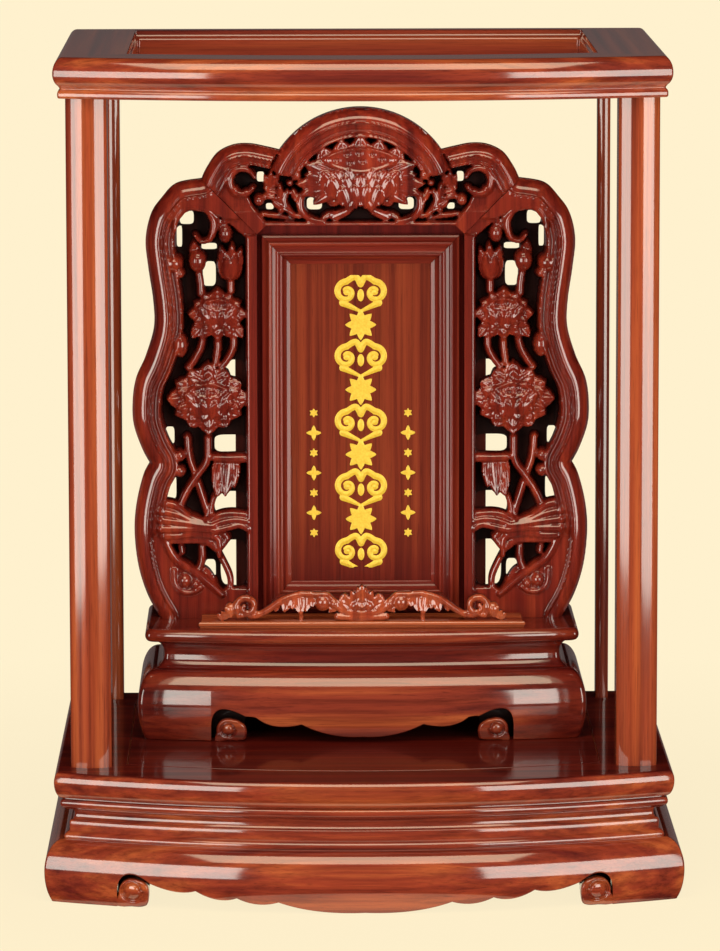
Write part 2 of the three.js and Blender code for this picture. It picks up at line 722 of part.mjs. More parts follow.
// Points of a wing, from their distance beyond its inner edge and their height above the pedestal.
function wingPlaces(points, side) {
  return points.map(([out, up]) => new THREE.Vector2(side * (WING_INNER_X + out), PANEL_Z + up * wingStretch));
}

// Points of the crest, from their distance beyond the wings' inner edge and their height above the seam.
function crestPlaces(points, side) {
  return points.map(([out, up]) => new THREE.Vector2(side * (WING_INNER_X + out), SEAM_Z + up));
}

function ellipse(x, z, radiusX, radiusZ) {
  const path = new THREE.Path();
  path.absellipse(x, z, radiusX, radiusZ, 0, 2 * Math.PI, false);
  return path;
}

// Wings: a pierced panel on each side, cut at 45 degrees where it meets the crest
const wingUpperLobes = [
  [59.4, 324.3],
  [70.4, 313.5],
  [78.4, 301.5],
  [82.3, 283],
  [80.4, 262],
  [77, 238],
  [76.6, 218],
  [82.9, 196],
  [90.3, 179],
  [92.8, 162],
  [92, 145],
  [85.9, 127],
  [80.3, 116.3],
];
const wingLowerLobe = [
  [85.5, 106],
  [90.6, 85],
  [92, 64],
  [89.3, 39],
  [82.6, 17],
  [73.4, 0],
];
const wingField = [
  [42.4, 310],
  [54.4, 306],
  [62.4, 296],
  [65.9, 280],
  [63.4, 257],
  [60.4, 235],
  [61.4, 214],
  [68.4, 190],
  [75.4, 170],
  [75.9, 150],
  [70.4, 131],
  [64.4, 116.3],
  [70.4, 100],
  [74.9, 75],
  [73.4, 45],
  [66.4, 22],
  [59.4, 10],
];
const wingHoles = [
  [52.4, 301, 7, 5.5],
  [60.9, 285, 2.8, 12],
  [35.4, 279.5, 5.5, 2.8],
  [34.4, 258.5, 4.6, 9.5],
  [25.4, 132, 7, 5.5],
  [65.4, 137.5, 3.2, 6.5],
  [64.4, 99.5, 3.2, 9.5],
  [24.9, 87, 7, 8.5],
  [22.4, 43, 4.5, 17],
  [35.4, 36, 3.8, 9],
];
for (const [side, word] of [
  [-1, "left"],
  [1, "right"],
]) {
  const outline = new THREE.Shape();
  outline.moveTo(side * WING_INNER_X, PANEL_Z);
  outline.lineTo(side * WING_INNER_X, SEAM_Z);
  outline.lineTo(side * SEAM_OUTER_X, SEAM_OUTER_Z);
  outline.splineThru(wingPlaces(wingUpperLobes, side));
  outline.splineThru(wingPlaces(wingLowerLobe, side));
  const holePlaces = wingPlaces(wingHoles, side);
  outline.holes = wingHoles.map(([, , radiusX, radiusZ], i) =>
    ellipse(holePlaces[i].x, holePlaces[i].y, radiusX, radiusZ),
  );
  const field = new THREE.Shape();
  const fieldInner = side * (WING_INNER_X + WING_STRIP);
  field.moveTo(fieldInner, PANEL_Z + WING_FIELD_LIFT);
  field.lineTo(fieldInner, SEAM_Z - WING_STRIP);
  field.splineThru(wingPlaces(wingField, side));
  const pocket = slab(field, PANEL_FRONT_Y - 1, PANEL_FRONT_Y + RELIEF_DEPTH, 2);
  piece(`wing_${word}`, cut(slab(outline, PANEL_FRONT_Y, PANEL_REAR_Y, 3), pocket));
}

// Crest: a high arch between two small lobes, pierced round a lotus
const archCentreZ = SEAM_Z + CREST_RISE - CREST_RADIUS;
const archStart = THREE.MathUtils.degToRad(CREST_ARCH_ANGLE);
const archFoot = new THREE.Vector2(
  CREST_RADIUS * Math.cos(archStart),
  archCentreZ + CREST_RADIUS * Math.sin(archStart),
);
const crestLobe = [
  [36.8, 49],
  [28.9, 59.8],
  [17.4, 65.5],
  [5.4, 66.4],
  [-6.6, 64.2],
];
const lobeCentre = { out: 10.4, up: 41.3, radius: 14 };
const crestHoles = [
  [-41.6, 22.8, 5, 4],
  [-9.3, 19.8, 3, 2.6],
  [-6.6, 41.3, 3.4, 4.4],
];
const crestX = WING_INNER_X - CREST_CHAMFER;
const crestZ = SEAM_Z + CREST_CHAMFER;
const crestShape = new THREE.Shape();
crestShape.moveTo(-crestX, crestZ);
crestShape.lineTo(crestX, crestZ);
crestShape.lineTo(WING_INNER_X, SEAM_Z + SEAT_GAP);
crestShape.lineTo(SEAM_OUTER_X, SEAM_OUTER_Z + SEAT_GAP);
crestShape.splineThru([...crestPlaces(crestLobe, 1), archFoot]);
crestShape.absarc(0, archCentreZ, CREST_RADIUS, archStart, Math.PI - archStart, false);
crestShape.splineThru([
  ...crestPlaces([...crestLobe].reverse(), -1),
  new THREE.Vector2(-SEAM_OUTER_X, SEAM_OUTER_Z + SEAT_GAP),
]);
crestShape.lineTo(-WING_INNER_X, SEAM_Z + SEAT_GAP);
crestShape.holes = [-1, 1].flatMap((side) =>
  crestPlaces(crestHoles, side).map((p, i) => ellipse(p.x, p.y, crestHoles[i][2], crestHoles[i][3])),
);
const crestField = new THREE.Shape();
crestField.absarc(0, archCentreZ, CREST_RADIUS - CREST_RIM, 0, Math.PI, false);
const crestPockets = [slab(crestField, PANEL_FRONT_Y - 1, PANEL_FRONT_Y + RELIEF_DEPTH, 8)];
for (const side of [-1, 1]) {
  const round = new THREE.CylinderGeometry(lobeCentre.radius, lobeCentre.radius, 2 * RELIEF_DEPTH, 16);
  round.translate(side * (WING_INNER_X + lobeCentre.out), PANEL_FRONT_Y, SEAM_Z + lobeCentre.up);
  crestPockets.push(round);
}
const crestBody = cut(slab(crestShape, PANEL_FRONT_Y, PANEL_REAR_Y, 4), ...crestPockets);
const lotus = new THREE.SphereGeometry(1, 20, 10);
lotus.scale(CREST_LOTUS.halfWidth, CREST_LOTUS.swell, CREST_LOTUS.halfHeight);
lotus.translate(0, PANEL_FRONT_Y + RELIEF_DEPTH, archCentreZ + CREST_LOTUS.lift);
piece("crest", join(crestBody, lotus));

// Back board behind the inscription frame, between the wings and under the crest
const backX = WING_INNER_X - SEAT_GAP;
const backZ = SEAM_Z - SEAT_GAP;
const backShape = new THREE.Shape();
backShape.moveTo(-backX, PANEL_Z);
backShape.lineTo(backX, PANEL_Z);
backShape.lineTo(backX, backZ);
backShape.lineTo(backX - CREST_CHAMFER, backZ + CREST_CHAMFER);
backShape.lineTo(-backX + CREST_CHAMFER, backZ + CREST_CHAMFER);
backShape.lineTo(-backX, backZ);
piece("tablet_back", slab(backShape, BACK_FRONT_Y, PANEL_REAR_Y), SHADED_LACQUER);

// Inscription frame: four mitred members whose section is drawn from the outer edge inwards.
// Here o is the distance from the outer edge and z the height above the back board.
const boardFront = FRAME_DEPTH - BOARD_RECESS;
const rebateX = FRAME_WIDTH - BOARD_REBATE;
const frameSection = [
  { o: 0, z: 0 },
  { o: rebateX, z: 0 },
  { o: rebateX, z: boardFront },
  { o: FRAME_WIDTH, z: boardFront },
  { o: FRAME_WIDTH, z: boardFront + 1.2 },
  { o: FRAME_WIDTH - 3, z: boardFront + 2.2 },
  { o: FRAME_WIDTH - 6, z: boardFront + 4.4 },
  { o: FRAME_WIDTH - 7.5, z: FRAME_DEPTH - 1.6 },
  { o: FRAME_WIDTH - 9.5, z: FRAME_DEPTH - 1.6 },
  { o: 11, z: FRAME_DEPTH - 2.6 },
  { o: 7.5, z: FRAME_DEPTH - 1.5 },
  { o: 6.5, z: FRAME_DEPTH },
  { o: 5, z: FRAME_DEPTH },
  { o: 3.5, z: FRAME_DEPTH - 2.2 },
  { o: 0, z: FRAME_DEPTH - 6 },
];
const frameBottom = PANEL_Z + FRAME_LIFT;
const frameTop = frameBottom + FRAME_HEIGHT;
function frameMember(which) {
  const ends = [-1, 1].map((end) =>
    frameSection.map(({ o, z }) => {
      const y = BACK_FRONT_Y - z;
      if (which === "top") return [end * (FRAME_OUTER_X - o), y, frameTop - o];
      if (which === "bottom") return [end * (FRAME_OUTER_X - o), y, frameBottom + o];
      const x = (which === "left" ? -1 : 1) * (FRAME_OUTER_X - o);
      const up = end < 0 ? frameBottom + o + MITRE_GAP : frameTop - o - MITRE_GAP;
      return [x, y, up];
    }),
  );
  return loft(ends, frameSection);
}
for (const which of ["top", "bottom", "left", "right"]) {
  piece(`inscription_frame_${which}`, frameMember(which));
}
const boardX = FRAME_OUTER_X - rebateX - SEAT_GAP;
const boardRearY = BACK_FRONT_Y - boardFront + SEAT_GAP + BOARD_THICKNESS;
piece(
  "inscription_board",
  box(
    -boardX,
    boardX,
    boardRearY - BOARD_THICKNESS,
    boardRearY,
    frameBottom + rebateX + SEAT_GAP,
    frameTop - rebateX - SEAT_GAP,
  ),
  SHADED_LACQUER,
);

// Carved ornament on the sill: a vine that swings from a shell at each end to the flower in the middle
const vineTop = [
  [107, 3],
  [98, 10],
  [86.5, 16.5],
  [79, 11],
  [71, 8],
  [58, 15.5],
  [47, 19.5],
  [30, 18.5],
  [15, 19],
  [9.5, 25],
  [0, 29.5],
];
const vineArches = [
  [
    [10, 3],
    [14, 8],
    [24, 7],
    [31, 9],
    [43, 12],
    [44.5, 3],
  ],
  [
    [48.5, 3],
    [50, 10],
    [56, 9],
    [63, 5],
    [66, 3],
  ],
];
const ornamentShape = new THREE.Shape();
ornamentShape.moveTo(-ORNAMENT_HALF_WIDTH, SILL_TOP);
ornamentShape.lineTo(ORNAMENT_HALF_WIDTH, SILL_TOP);
ornamentShape.splineThru([
  ...vineTop.map(([out, up]) => new THREE.Vector2(out, SILL_TOP + up)),
  ...[...vineTop].reverse().slice(1).map(([out, up]) => new THREE.Vector2(-out, SILL_TOP + up)),
]);
const ornamentFrontY = SILL_FRONT_Y + ORNAMENT_SETBACK;
const ornamentRearY = ornamentFrontY + ORNAMENT_THICKNESS;
const ornamentGaps = [-1, 1].flatMap((side) =>
  vineArches.map((arch) => {
    const outline = arch.map(([out, up]) => new THREE.Vector2(side * out, SILL_TOP + up));
    return slab(new THREE.Shape(outline), ornamentFrontY - 1, ornamentRearY + 1);
  }),
);
piece("sill_ornament", cut(slab(ornamentShape, ornamentFrontY, ornamentRearY, 2), ...ornamentGaps));

// Case on the back: two grooved sides and a top, closed by a lid that slides up
const caseRearY = PANEL_REAR_Y + CASE_DEPTH;
const caseInnerX = CASE_OUTER_X - CASE_WALL;
const caseTopZ = PANEL_Z + CASE_HEIGHT;
const grooveRearY = caseRearY - LID_REAR_WALL;
const grooveFrontY = grooveRearY - LID_THICKNESS - 2 * RUNNING_CLEARANCE;
const grooveX = caseInnerX + LID_GROOVE_DEPTH;
for (const [side, word] of [
  [-1, "left"],
  [1, "right"],
]) {
  const section = [
    [caseInnerX, PANEL_REAR_Y],
    [CASE_OUTER_X, PANEL_REAR_Y],
    [CASE_OUTER_X, caseRearY],
    [caseInnerX, caseRearY],
    [caseInnerX, grooveRearY],
    [grooveX, grooveRearY],
    [grooveX, grooveFrontY],
    [caseInnerX, grooveFrontY],
  ];
  const shape = new THREE.Shape(section.map(([x, y]) => new THREE.Vector2(side * x, y)));
  piece(`case_side_${word}`, prism(shape, PANEL_Z, caseTopZ), SHADED_LACQUER);
}
const caseTopX = caseInnerX - SEAT_GAP;
piece(
  "case_top",
  box(-caseTopX, caseTopX, PANEL_REAR_Y, grooveFrontY - RUNNING_CLEARANCE, caseTopZ - CASE_WALL, caseTopZ),
  SHADED_LACQUER,
);
const lidX = grooveX - RUNNING_CLEARANCE;
const lidFrontY = grooveFrontY + RUNNING_CLEARANCE;
const lidRearY = lidFrontY + LID_THICKNESS;
const lidBody = box(-lidX, lidX, lidFrontY, lidRearY, PANEL_Z + SEAT_GAP, caseTopZ);
const gripZ = caseTopZ - LID_GRIP_DROP;
const grip = box(
  -LID_GRIP_WIDTH / 2,
  LID_GRIP_WIDTH / 2,
  lidRearY - LID_GRIP_DEPTH,
  lidRearY + 1,
  gripZ - LID_GRIP_DEPTH * 2,
  gripZ + LID_GRIP_DEPTH,
);
piece("case_lid", cut(lidBody, grip), SHADED_LACQUER);

for (let i = 0; i < SLIP_COUNT; i += 1) {
  const frontY = PANEL_REAR_Y + SLIP_SPACING - SLIP_THICKNESS + i * SLIP_SPACING;
  const rearY = frontY + SLIP_THICKNESS;
  piece(
    `name_slip_${i + 1}`,
    box(-SLIP_WIDTH / 2, SLIP_WIDTH / 2, frontY, rearY, PANEL_Z, PANEL_Z + SLIP_HEIGHT),
    BARE_WOOD,
  );
}

export default group;
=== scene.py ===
"""Looks of the ancestor shrine: lacquered rosewood, carved panels and a pale studio.

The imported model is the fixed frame. Shapes are worked out in millimetres, +Z up, -Y towards the viewer.
"""

import json
import math

import bpy
import numpy as np
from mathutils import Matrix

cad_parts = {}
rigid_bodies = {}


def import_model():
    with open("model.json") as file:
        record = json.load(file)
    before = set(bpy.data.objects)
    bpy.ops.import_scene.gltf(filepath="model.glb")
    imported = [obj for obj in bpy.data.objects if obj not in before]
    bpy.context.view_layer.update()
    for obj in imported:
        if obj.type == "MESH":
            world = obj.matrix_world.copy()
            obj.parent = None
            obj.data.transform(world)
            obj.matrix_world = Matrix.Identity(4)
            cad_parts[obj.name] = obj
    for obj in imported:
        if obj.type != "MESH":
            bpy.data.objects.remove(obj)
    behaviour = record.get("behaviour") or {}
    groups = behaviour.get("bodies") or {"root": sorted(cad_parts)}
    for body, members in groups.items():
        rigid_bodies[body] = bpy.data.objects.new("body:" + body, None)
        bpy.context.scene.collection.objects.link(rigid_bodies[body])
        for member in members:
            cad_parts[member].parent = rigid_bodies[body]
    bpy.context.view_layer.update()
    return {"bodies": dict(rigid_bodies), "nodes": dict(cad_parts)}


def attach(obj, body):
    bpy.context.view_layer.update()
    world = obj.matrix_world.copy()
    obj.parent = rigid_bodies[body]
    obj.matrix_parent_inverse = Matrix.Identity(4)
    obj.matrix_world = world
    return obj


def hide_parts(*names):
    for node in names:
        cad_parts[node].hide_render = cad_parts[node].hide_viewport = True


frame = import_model()
NODES = frame["nodes"]
BODIES = {empty: name for name, empty in frame["bodies"].items()}

MM = 0.001

# Base of the shrine
BASE_HALF_WIDTH = 220
BASE_CORNER_Y = -135
BASE_REAR_Y = 178
BASE_BOW = 43
BASE_SKIRT_HEIGHT = 45
BASE_SKIRT_BULGE = 10.2
BASE_SKIRT_THICKNESS = 26
BOARD_Z = 75
FLOOR_Z = 94
BOARD_NOSE = 2.9
GROOVE_DEPTH = 1.6
FRONT_GROOVE_SETBACK = 43.5
SIDE_GROOVE_SETBACK = 49
SIDE_GROOVE_REAR_Y = 148.5

# The belly of both skirts
BELLY_SWELL = 13.6
BELLY_FOOT_ANGLE = -54

# Posts: middle, width, depth, how far the front bulges and how far the edges are rounded
POST_TOP_Z = 576.8
FRONT_POST = {"x": 196.5, "front_y": -121, "width": 29.4, "depth": 30, "crown": 4.4, "edge": 1.3}
REAR_POST = {"x": 185.65, "front_y": 148.5, "width": 9.7, "depth": 15, "crown": 1.8, "edge": 0.6}

# Top frame
TOP_HALF_WIDTH = 213.8
TOP_CORNER_Y = -119.5
TOP_REAR_Y = 171.5
TOP_BOW = 30
TOP_HEIGHT = 29.2
TOP_SIDE_RAIL = 45
TOP_FRONT_RAIL = 42
TOP_REAR_RAIL = 14
TOP_NOSE = 6.1

# Pedestal of the tablet
PEDESTAL_HALF_WIDTH = 156
PEDESTAL_CORNER_Y = -9.5
PEDESTAL_REAR_Y = 100
PEDESTAL_BOW = 14
PEDESTAL_Z = 94.2
PEDESTAL_SKIRT_HEIGHT = 52
PEDESTAL_SKIRT_BULGE = 9.7
PEDESTAL_SKIRT_THICKNESS = 20
NECK_Z = 146.2
PEDESTAL_BOARD_Z = 166.7
PANEL_Z = 176.2
PEDESTAL_NOSE = 4

# Tablet panel
PANEL_REAR_Y = 52
BACK_FRONT_Y = 44
FRAME_OUTER_X = 73
FRAME_WIDTH = 21.4
FRAME_BOTTOM_Z = 182.5
FRAME_TOP_Z = 462.6
FRAME_DEPTH = 13
BOARD_FRONT_Y = 40

# Sill and its ornament
SILL_HALF_WIDTH = 120
SILL_FRONT_Y = -6.4
SILL_TOP = 180.7
ORNAMENT_REAR_Y = 3.2

# The gap at a mitre, and how far from an edge a flat face gets a supporting loop
MITRE_GAP = 0.3
SUPPORT = 0.3

# Patterns of the wood: repeats to the metre along and across the grain
BAND_SCALE = (1.5, 85)
STREAK_SCALE = (3, 260)
PORE_SCALE = (40, 1500)

# Studio, in metres and watts. Lamps: place, width and height, power and colour
LAMP_AIM = (0, 0, 0.3)
LAMPS = {
    "left_softbox": ((-1.4, -2.05, 0.42), (1.4, 1.2), 31, (1, 0.97, 0.87)),
    "right_softbox": ((1.4, -2.05, 0.42), (1.4, 1.2), 31, (1, 0.97, 0.87)),
    "overhead_bank": ((0, -1.6, 2.1), (2.0, 1.45), 43, (1, 0.82, 0.58)),
}
BACKDROP_CREAM = (255, 241, 206)
ROOM_COLOUR = (1, 0.82, 0.78, 1)
ROOM_LIGHT = 0.13

# Directions, as the Z and Y of a unit vector: shiny things show the backdrop below LOW_REFLECTION, and a strip
# of the room below STRIP_TOP and farther back than STRIP_NEAREST
LOW_REFLECTION = -0.85
STRIP_TOP = 0.12
STRIP_NEAREST = 0.5

# The floor shows this share of its own colour near the shrine, and all of it where its shadow has ended
FLOOR_HALF = 30
FLOOR_SHARE = 0.92
FLOOR_SHADOW_ENDS = (0.3, 0.9)
REFLECTED_FLOOR = 0.22

# Camera, fitted to the photograph's 720 by 951 frame
PHOTO_HEIGHT = 951
FOCAL_PIXELS = 5771
SENSOR = 36
CAMERA_PLACE = (-50 * MM, -4204.5 * MM, 906 * MM)
CAMERA_PITCH = math.radians(8.352)
CAMERA_YAW = math.radians(-0.68)
CAMERA_ROLL = math.radians(0.1)


def colour(red, green, blue):
    """The scene-linear colour of a screen colour from 0 to 255, by the sRGB curve."""
    screen = np.array([red, green, blue]) / 255
    linear = np.where(screen <= 0.04045, screen / 12.92, ((screen + 0.055) / 1.055) ** 2.4)
    return (*linear, 1.0)


def wire(tree, source, output, target, name):
    """Links one node's output to another node's input."""
    tree.links.new(source.outputs[output], target.inputs[name])


def math_node(tree, operation, first, second):
    """The output of one sum done on sockets or numbers."""
    node = tree.nodes.new("ShaderNodeMath")
    node.operation = operation
    for socket, value in zip(node.inputs, (first, second)):
        if isinstance(value, float):
            socket.default_value = value
        else:
            tree.links.new(value, socket)
    return node.outputs[0]


def map_range(tree, value, low, high, result=0.0):
    """The output of a share that goes from `result` where the value is low to 1 where it is high."""
    node = tree.nodes.new("ShaderNodeMapRange")
    node.inputs["From Min"].default_value = low
    node.inputs["From Max"].default_value = high
    node.inputs["To Min"].default_value = result
    tree.links.new(value, node.inputs["Value"])
    return node.outputs["Result"]


def mix_shaders(tree, share, first, second):
    """A shader that is the first at share 0 and the second at share 1."""
    node = tree.nodes.new("ShaderNodeMixShader")
    for socket, source in zip(node.inputs, (share, first.outputs[0], second.outputs[0])):
        tree.links.new(source, socket)
    return node


def painted(tree, kind, tone):
    """A node of a plain shader with its colour."""
    node = tree.nodes.new(kind)
    node.inputs["Color"].default_value = tone
    return node


# Materials


def stretched(tree, axis, scales, shift):
    """Object coordinates, squeezed so that a pattern made with them runs along one axis."""
    along, across = scales
    place = tree.nodes.new("ShaderNodeTexCoord")
    mapping = tree.nodes.new("ShaderNodeMapping")
    scale = [across, across, across]
    scale["XYZ".index(axis)] = along
    mapping.inputs["Scale"].default_value = scale
    mapping.inputs["Location"].default_value = (shift, shift * 1.7, shift * 0.6)
    wire(tree, place, "Object", mapping, "Vector")
    return mapping


def noise(tree, vector, detail, roughness=0.5, distortion=0.0):
    """A noise texture at the scale of the mapped coordinates."""
    texture = tree.nodes.new("ShaderNodeTexNoise")
    texture.inputs["Scale"].default_value = 1
    texture.inputs["Detail"].default_value = detail
    texture.inputs["Roughness"].default_value = roughness
    texture.inputs["Distortion"].default_value = distortion
    wire(tree, vector, "Vector", texture, "Vector")
    return texture


def ramp(tree, source, stops):
    """A colour ramp with (position, colour) stops."""
    node = tree.nodes.new("ShaderNodeValToRGB")
    elements = node.color_ramp.elements
    elements[0].position, elements[0].color = stops[0]
    elements[1].position, elements[1].color = stops[-1]
    for position, shade in stops[1:-1]:
        elements.new(position).color = shade
    wire(tree, source, "Fac", node, "Fac")
    return node


def mixed(tree, mode, amount, first, second):
    """Two colours mixed in one of the blend modes."""
    node = tree.nodes.new("ShaderNodeMixRGB")
    node.blend_type = mode
    node.inputs["Fac"].default_value = amount
    wire(tree, first, "Color", node, "Color1")
    wire(tree, second, "Color", node, "Color2")
    return node


def lacquered_wood(name, axis, tones, gloss=1.0, shift=0.0):
    """Rosewood under clear lacquer, in three screen colours from dark to light.

    Broad bands and fine streaks are noise stretched along the grain. Pores are a finer noise that darkens
    short dashes. The coat alone is glossy, so that the wood keeps its depth."""
    dark, middle, light = (colour(*tone) for tone in tones)
    material = bpy.data.materials.new(name)
    material.use_nodes = True
    tree = material.node_tree
    shader = tree.nodes["Principled BSDF"]

    bands = noise(tree, stretched(tree, axis, BAND_SCALE, shift), 4, 0.55, 0.2)
    streaks = noise(tree, stretched(tree, axis, STREAK_SCALE, shift), 5, 0.6, 0.1)
    pores = noise(tree, stretched(tree, axis, PORE_SCALE, shift), 2)
    broad = ramp(tree, bands, [(0.3, dark), (0.5, middle), (0.72, light)])
    fine = ramp(tree, streaks, [(0.3, colour(190, 170, 168)), (0.58, colour(255, 255, 255))])
    dashes = ramp(tree, pores, [(0.3, colour(185, 165, 165)), (0.44, colour(255, 255, 255))])
    wood = mixed(tree, "MULTIPLY", 0.6, mixed(tree, "MULTIPLY", 1.0, broad, fine), dashes)
    wire(tree, wood, "Color", shader, "Base Color")

    bump = tree.nodes.new("ShaderNodeBump")
    bump.inputs["Strength"].default_value = 0.05
    bump.inputs["Distance"].default_value = 0.0003
    wire(tree, streaks, "Fac", bump, "Height")
    wire(tree, bump, "Normal", shader, "Normal")

    shader.inputs["Roughness"].default_value = 0.6
    shader.inputs["Specular IOR Level"].default_value = 0.12
    shader.inputs["Coat Weight"].default_value = gloss
    shader.inputs["Coat Roughness"].default_value = 0.075
    shader.inputs["Coat IOR"].default_value = 1.75
    return material


def painted_shade_along(material, axis, at, over, tone, gloss=None):
    """Paints shade into a finish along one axis of the model: from the tone at `at` to its own colour at
    `over`.

    gloss is the coat that it keeps where the painted shade is darkest."""
    tree = material.node_tree
    shader = tree.nodes["Principled BSDF"]
    wood = shader.inputs["Base Color"].links[0].from_node
    place = tree.nodes.new("ShaderNodeTexCoord")
    parts = tree.nodes.new("ShaderNodeSeparateXYZ")
    wire(tree, place, "Object", parts, "Vector")
    share = map_range(tree, parts.outputs[axis], at, over)
    shade = tree.nodes.new("ShaderNodeMixRGB")
    shade.inputs["Color1"].default_value = tone
    shade.inputs["Color2"].default_value = (1, 1, 1, 1)
    tree.links.new(share, shade.inputs["Fac"])
    wire(tree, mixed(tree, "MULTIPLY", 1.0, wood, shade), "Color", shader, "Base Color")
    if gloss is not None:
        tree.links.new(map_range(tree, share, 0, 1, gloss), shader.inputs["Coat Weight"])
    return material


RAIL_TONES = (98, 26, 21), (138, 53, 31), (172, 88, 46)
POST_TONES = (104, 32, 21), (146, 62, 33), (176, 92, 48)
FRAME_TONES = (88, 20, 16), (118, 34, 24), (148, 58, 36)
LACQUER = {
    axis: lacquered_wood(f"lacquer_{axis.lower()}", axis, tones, 1.0, shift)
    for axis, tones, shift in zip("XYZ", (RAIL_TONES, RAIL_TONES, POST_TONES), (0.0, 3.1, 7.7))
}
# The floor board: painted shade on its top face, which also keeps less coat
FLOOR_SHADED_LACQUER = painted_shade_along(
    lacquered_wood("floor_shaded_lacquer", "X", RAIL_TONES, 1.0, 2.3),
    "Z", (FLOOR_Z - 0.3) * MM, (FLOOR_Z - 1.2) * MM, (0.42, 0.16, 0.2, 1), 0.45,
)
# The inscription board: painted shade towards its bottom
BOARD_SHADED_LACQUER = painted_shade_along(
    lacquered_wood("board_lacquer", "Z", ((100, 30, 17), (124, 46, 25), (140, 60, 32))),
    "Z", 0.19, 0.26, (0.5, 0.14, 0.25, 1),
)
# The pedestal: painted shade that grows as its surface lies farther back, so only the middle of its bowed
# front keeps its own colour
PEDESTAL_SHADED_LACQUER = {
    axis: painted_shade_along(
        lacquered_wood(f"pedestal_shaded_lacquer_{axis.lower()}", axis, RAIL_TONES, 1.0, 9.4),
        "Y", -0.012, -0.031, (0.62, 0.3, 0.34, 1),
    )
    for axis in "XY"
}
SILL_LACQUER = lacquered_wood("sill_lacquer", "X", ((136, 52, 28), (172, 82, 44), (196, 110, 64)))
FRAME_LACQUER = {
    axis: lacquered_wood(f"frame_lacquer_{axis.lower()}", axis, FRAME_TONES, 0.42) for axis in "XZ"
}
# Near black: painted shade for the wood deep behind the scrolls
SHADE_PAINTED_WOOD = lacquered_wood("shade_painted_wood", "X", ((14, 2, 2), (22, 4, 3), (30, 6, 5)), 0.12)
# The case: its dark brown is painted shade
CASE_SHADED_LACQUER = lacquered_wood("case_shaded_lacquer", "Z", ((48, 10, 7), (68, 17, 11), (88, 27, 16)), 0.3)
BACK_LACQUER = lacquered_wood("back_lacquer", "Z", ((84, 12, 11), (102, 18, 15), (116, 26, 20)), 0.5)
BARE_WOOD = lacquered_wood("bare_wood", "Z", ((120, 78, 50), (150, 104, 70), (172, 126, 90)), 0.0)


def grain_of(node):
    """The axis that a node's grain follows: up the posts and panels, along the rails and boards."""
    if any(word in node for word in ("post", "wing", "tablet_back", "case_side", "block", "slip")):
        return "Z"
    if "frame_left" in node or "frame_right" in node:
        return "Z"
    if "left" in node or "right" in node:
        return "Y"
    return "X"


def finish_of(node):
    """The material of a node."""
    if "block" in node or "slip" in node:
        return BARE_WOOD
    if node == "inscription_board":
        return BOARD_SHADED_LACQUER
    if "case" in node:
        return CASE_SHADED_LACQUER
    if node == "tablet_back":
        return BACK_LACQUER
    if node == "base_board":
        return FLOOR_SHADED_LACQUER
    if node == "sill":
        return SILL_LACQUER
    if "pedestal" in node:
        return PEDESTAL_SHADED_LACQUER[grain_of(node)]
    if "frame" in node:
        return FRAME_LACQUER[grain_of(node)]
    return LACQUER[grain_of(node)]


# Making surfaces


def volume_of(points, faces):
    """Six times the signed volume inside quads and fans of points."""
    total = 0.0
    for face in faces:
        corners = points[face]
        first = corners[..., 0, :]
        for i in range(1, corners.shape[-2] - 1):
            turn = np.cross(corners[..., i, :], corners[..., i + 1, :])
            total += np.sum(first * turn)
    return total


def skin(rings, looped=False):
    """Quads between rings of points that each close on themselves, with a face over each end.

    rings has the shape (rings, points, 3). Looped ones have no ends. Returns the points and face arrays."""
    count, size, _ = rings.shape
    index = np.arange(count * size).reshape(count, size)
    if looped:
        index = np.vstack([index, index[:1]])
    below, above = index[:-1], index[1:]
    quads = np.stack([below, np.roll(below, -1, 1), np.roll(above, -1, 1), above], -1).reshape(-1, 4)
    faces = [quads]
    if not looped:
        faces += [index[0][::-1][None], index[-1][None]]
    points = rings.reshape(-1, 3)
    if volume_of(points, faces) < 0:
        faces = [face[:, ::-1] for face in faces]
    return points, faces


def merged(*shells):
    """Several closed shells in one list of points and faces."""
    start = 0
    all_points = []
    all_faces = []
    for points, faces in shells:
        all_points.append(points)
        all_faces += [face + start for face in faces]
        start += len(points)
    return np.vstack(all_points), all_faces


def add_piece(node, shell, finish=None, name=None, sharp=35, replaces=True):
    """Makes an object of a shell in millimetres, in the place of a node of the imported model."""
    points, faces = shell
    sizes = np.concatenate([np.full(len(face), face.shape[1]) for face in faces])
    corners = np.concatenate([face.ravel() for face in faces])
    mesh = bpy.data.meshes.new(name or f"{node}_look")
    mesh.vertices.add(len(points))
    mesh.vertices.foreach_set("co", (points * MM).astype(np.float32).ravel())
    mesh.loops.add(len(corners))
    mesh.loops.foreach_set("vertex_index", corners.astype(np.int32))
    mesh.polygons.add(len(sizes))
    starts = np.concatenate([[0], np.cumsum(sizes)[:-1]])
    mesh.polygons.foreach_set("loop_start", starts.astype(np.int32))
    mesh.update(calc_edges=True)
    mesh.validate()
    mesh.polygons.foreach_set("use_smooth", np.ones(len(sizes), dtype=bool))
    mesh.set_sharp_from_angle(angle=math.radians(sharp))
    mesh.materials.append(finish or finish_of(node))
    piece = bpy.data.objects.new(mesh.name, mesh)
    bpy.context.scene.collection.objects.link(piece)
    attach(piece, BODIES[NODES[node].parent])
    if replaces:
        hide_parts(node)
    return piece


def arc(offset, z, reach, rise, start, end, steps):
    """Points (offset, z) on an ellipse, between two angles in degrees from straight outwards."""
    angle = np.radians(np.linspace(start, end, steps + 1))
    return np.stack([offset + reach * np.cos(angle), z + rise * np.sin(angle)], -1)


def bend(*controls, steps=8):
    """Points on a quadratic or cubic curve through its first and last control points."""
    t = np.linspace(0, 1, steps + 1)[:, None]
    points = [np.array(control, float) for control in controls]
    while len(points) > 1:
        points = [(1 - t) * a + t * b for a, b in zip(points, points[1:])]
    return points[0]


def at_height(line, z):
    """A plan line [points, 2] at one height."""
    return np.column_stack([line, np.full(len(line), z)])


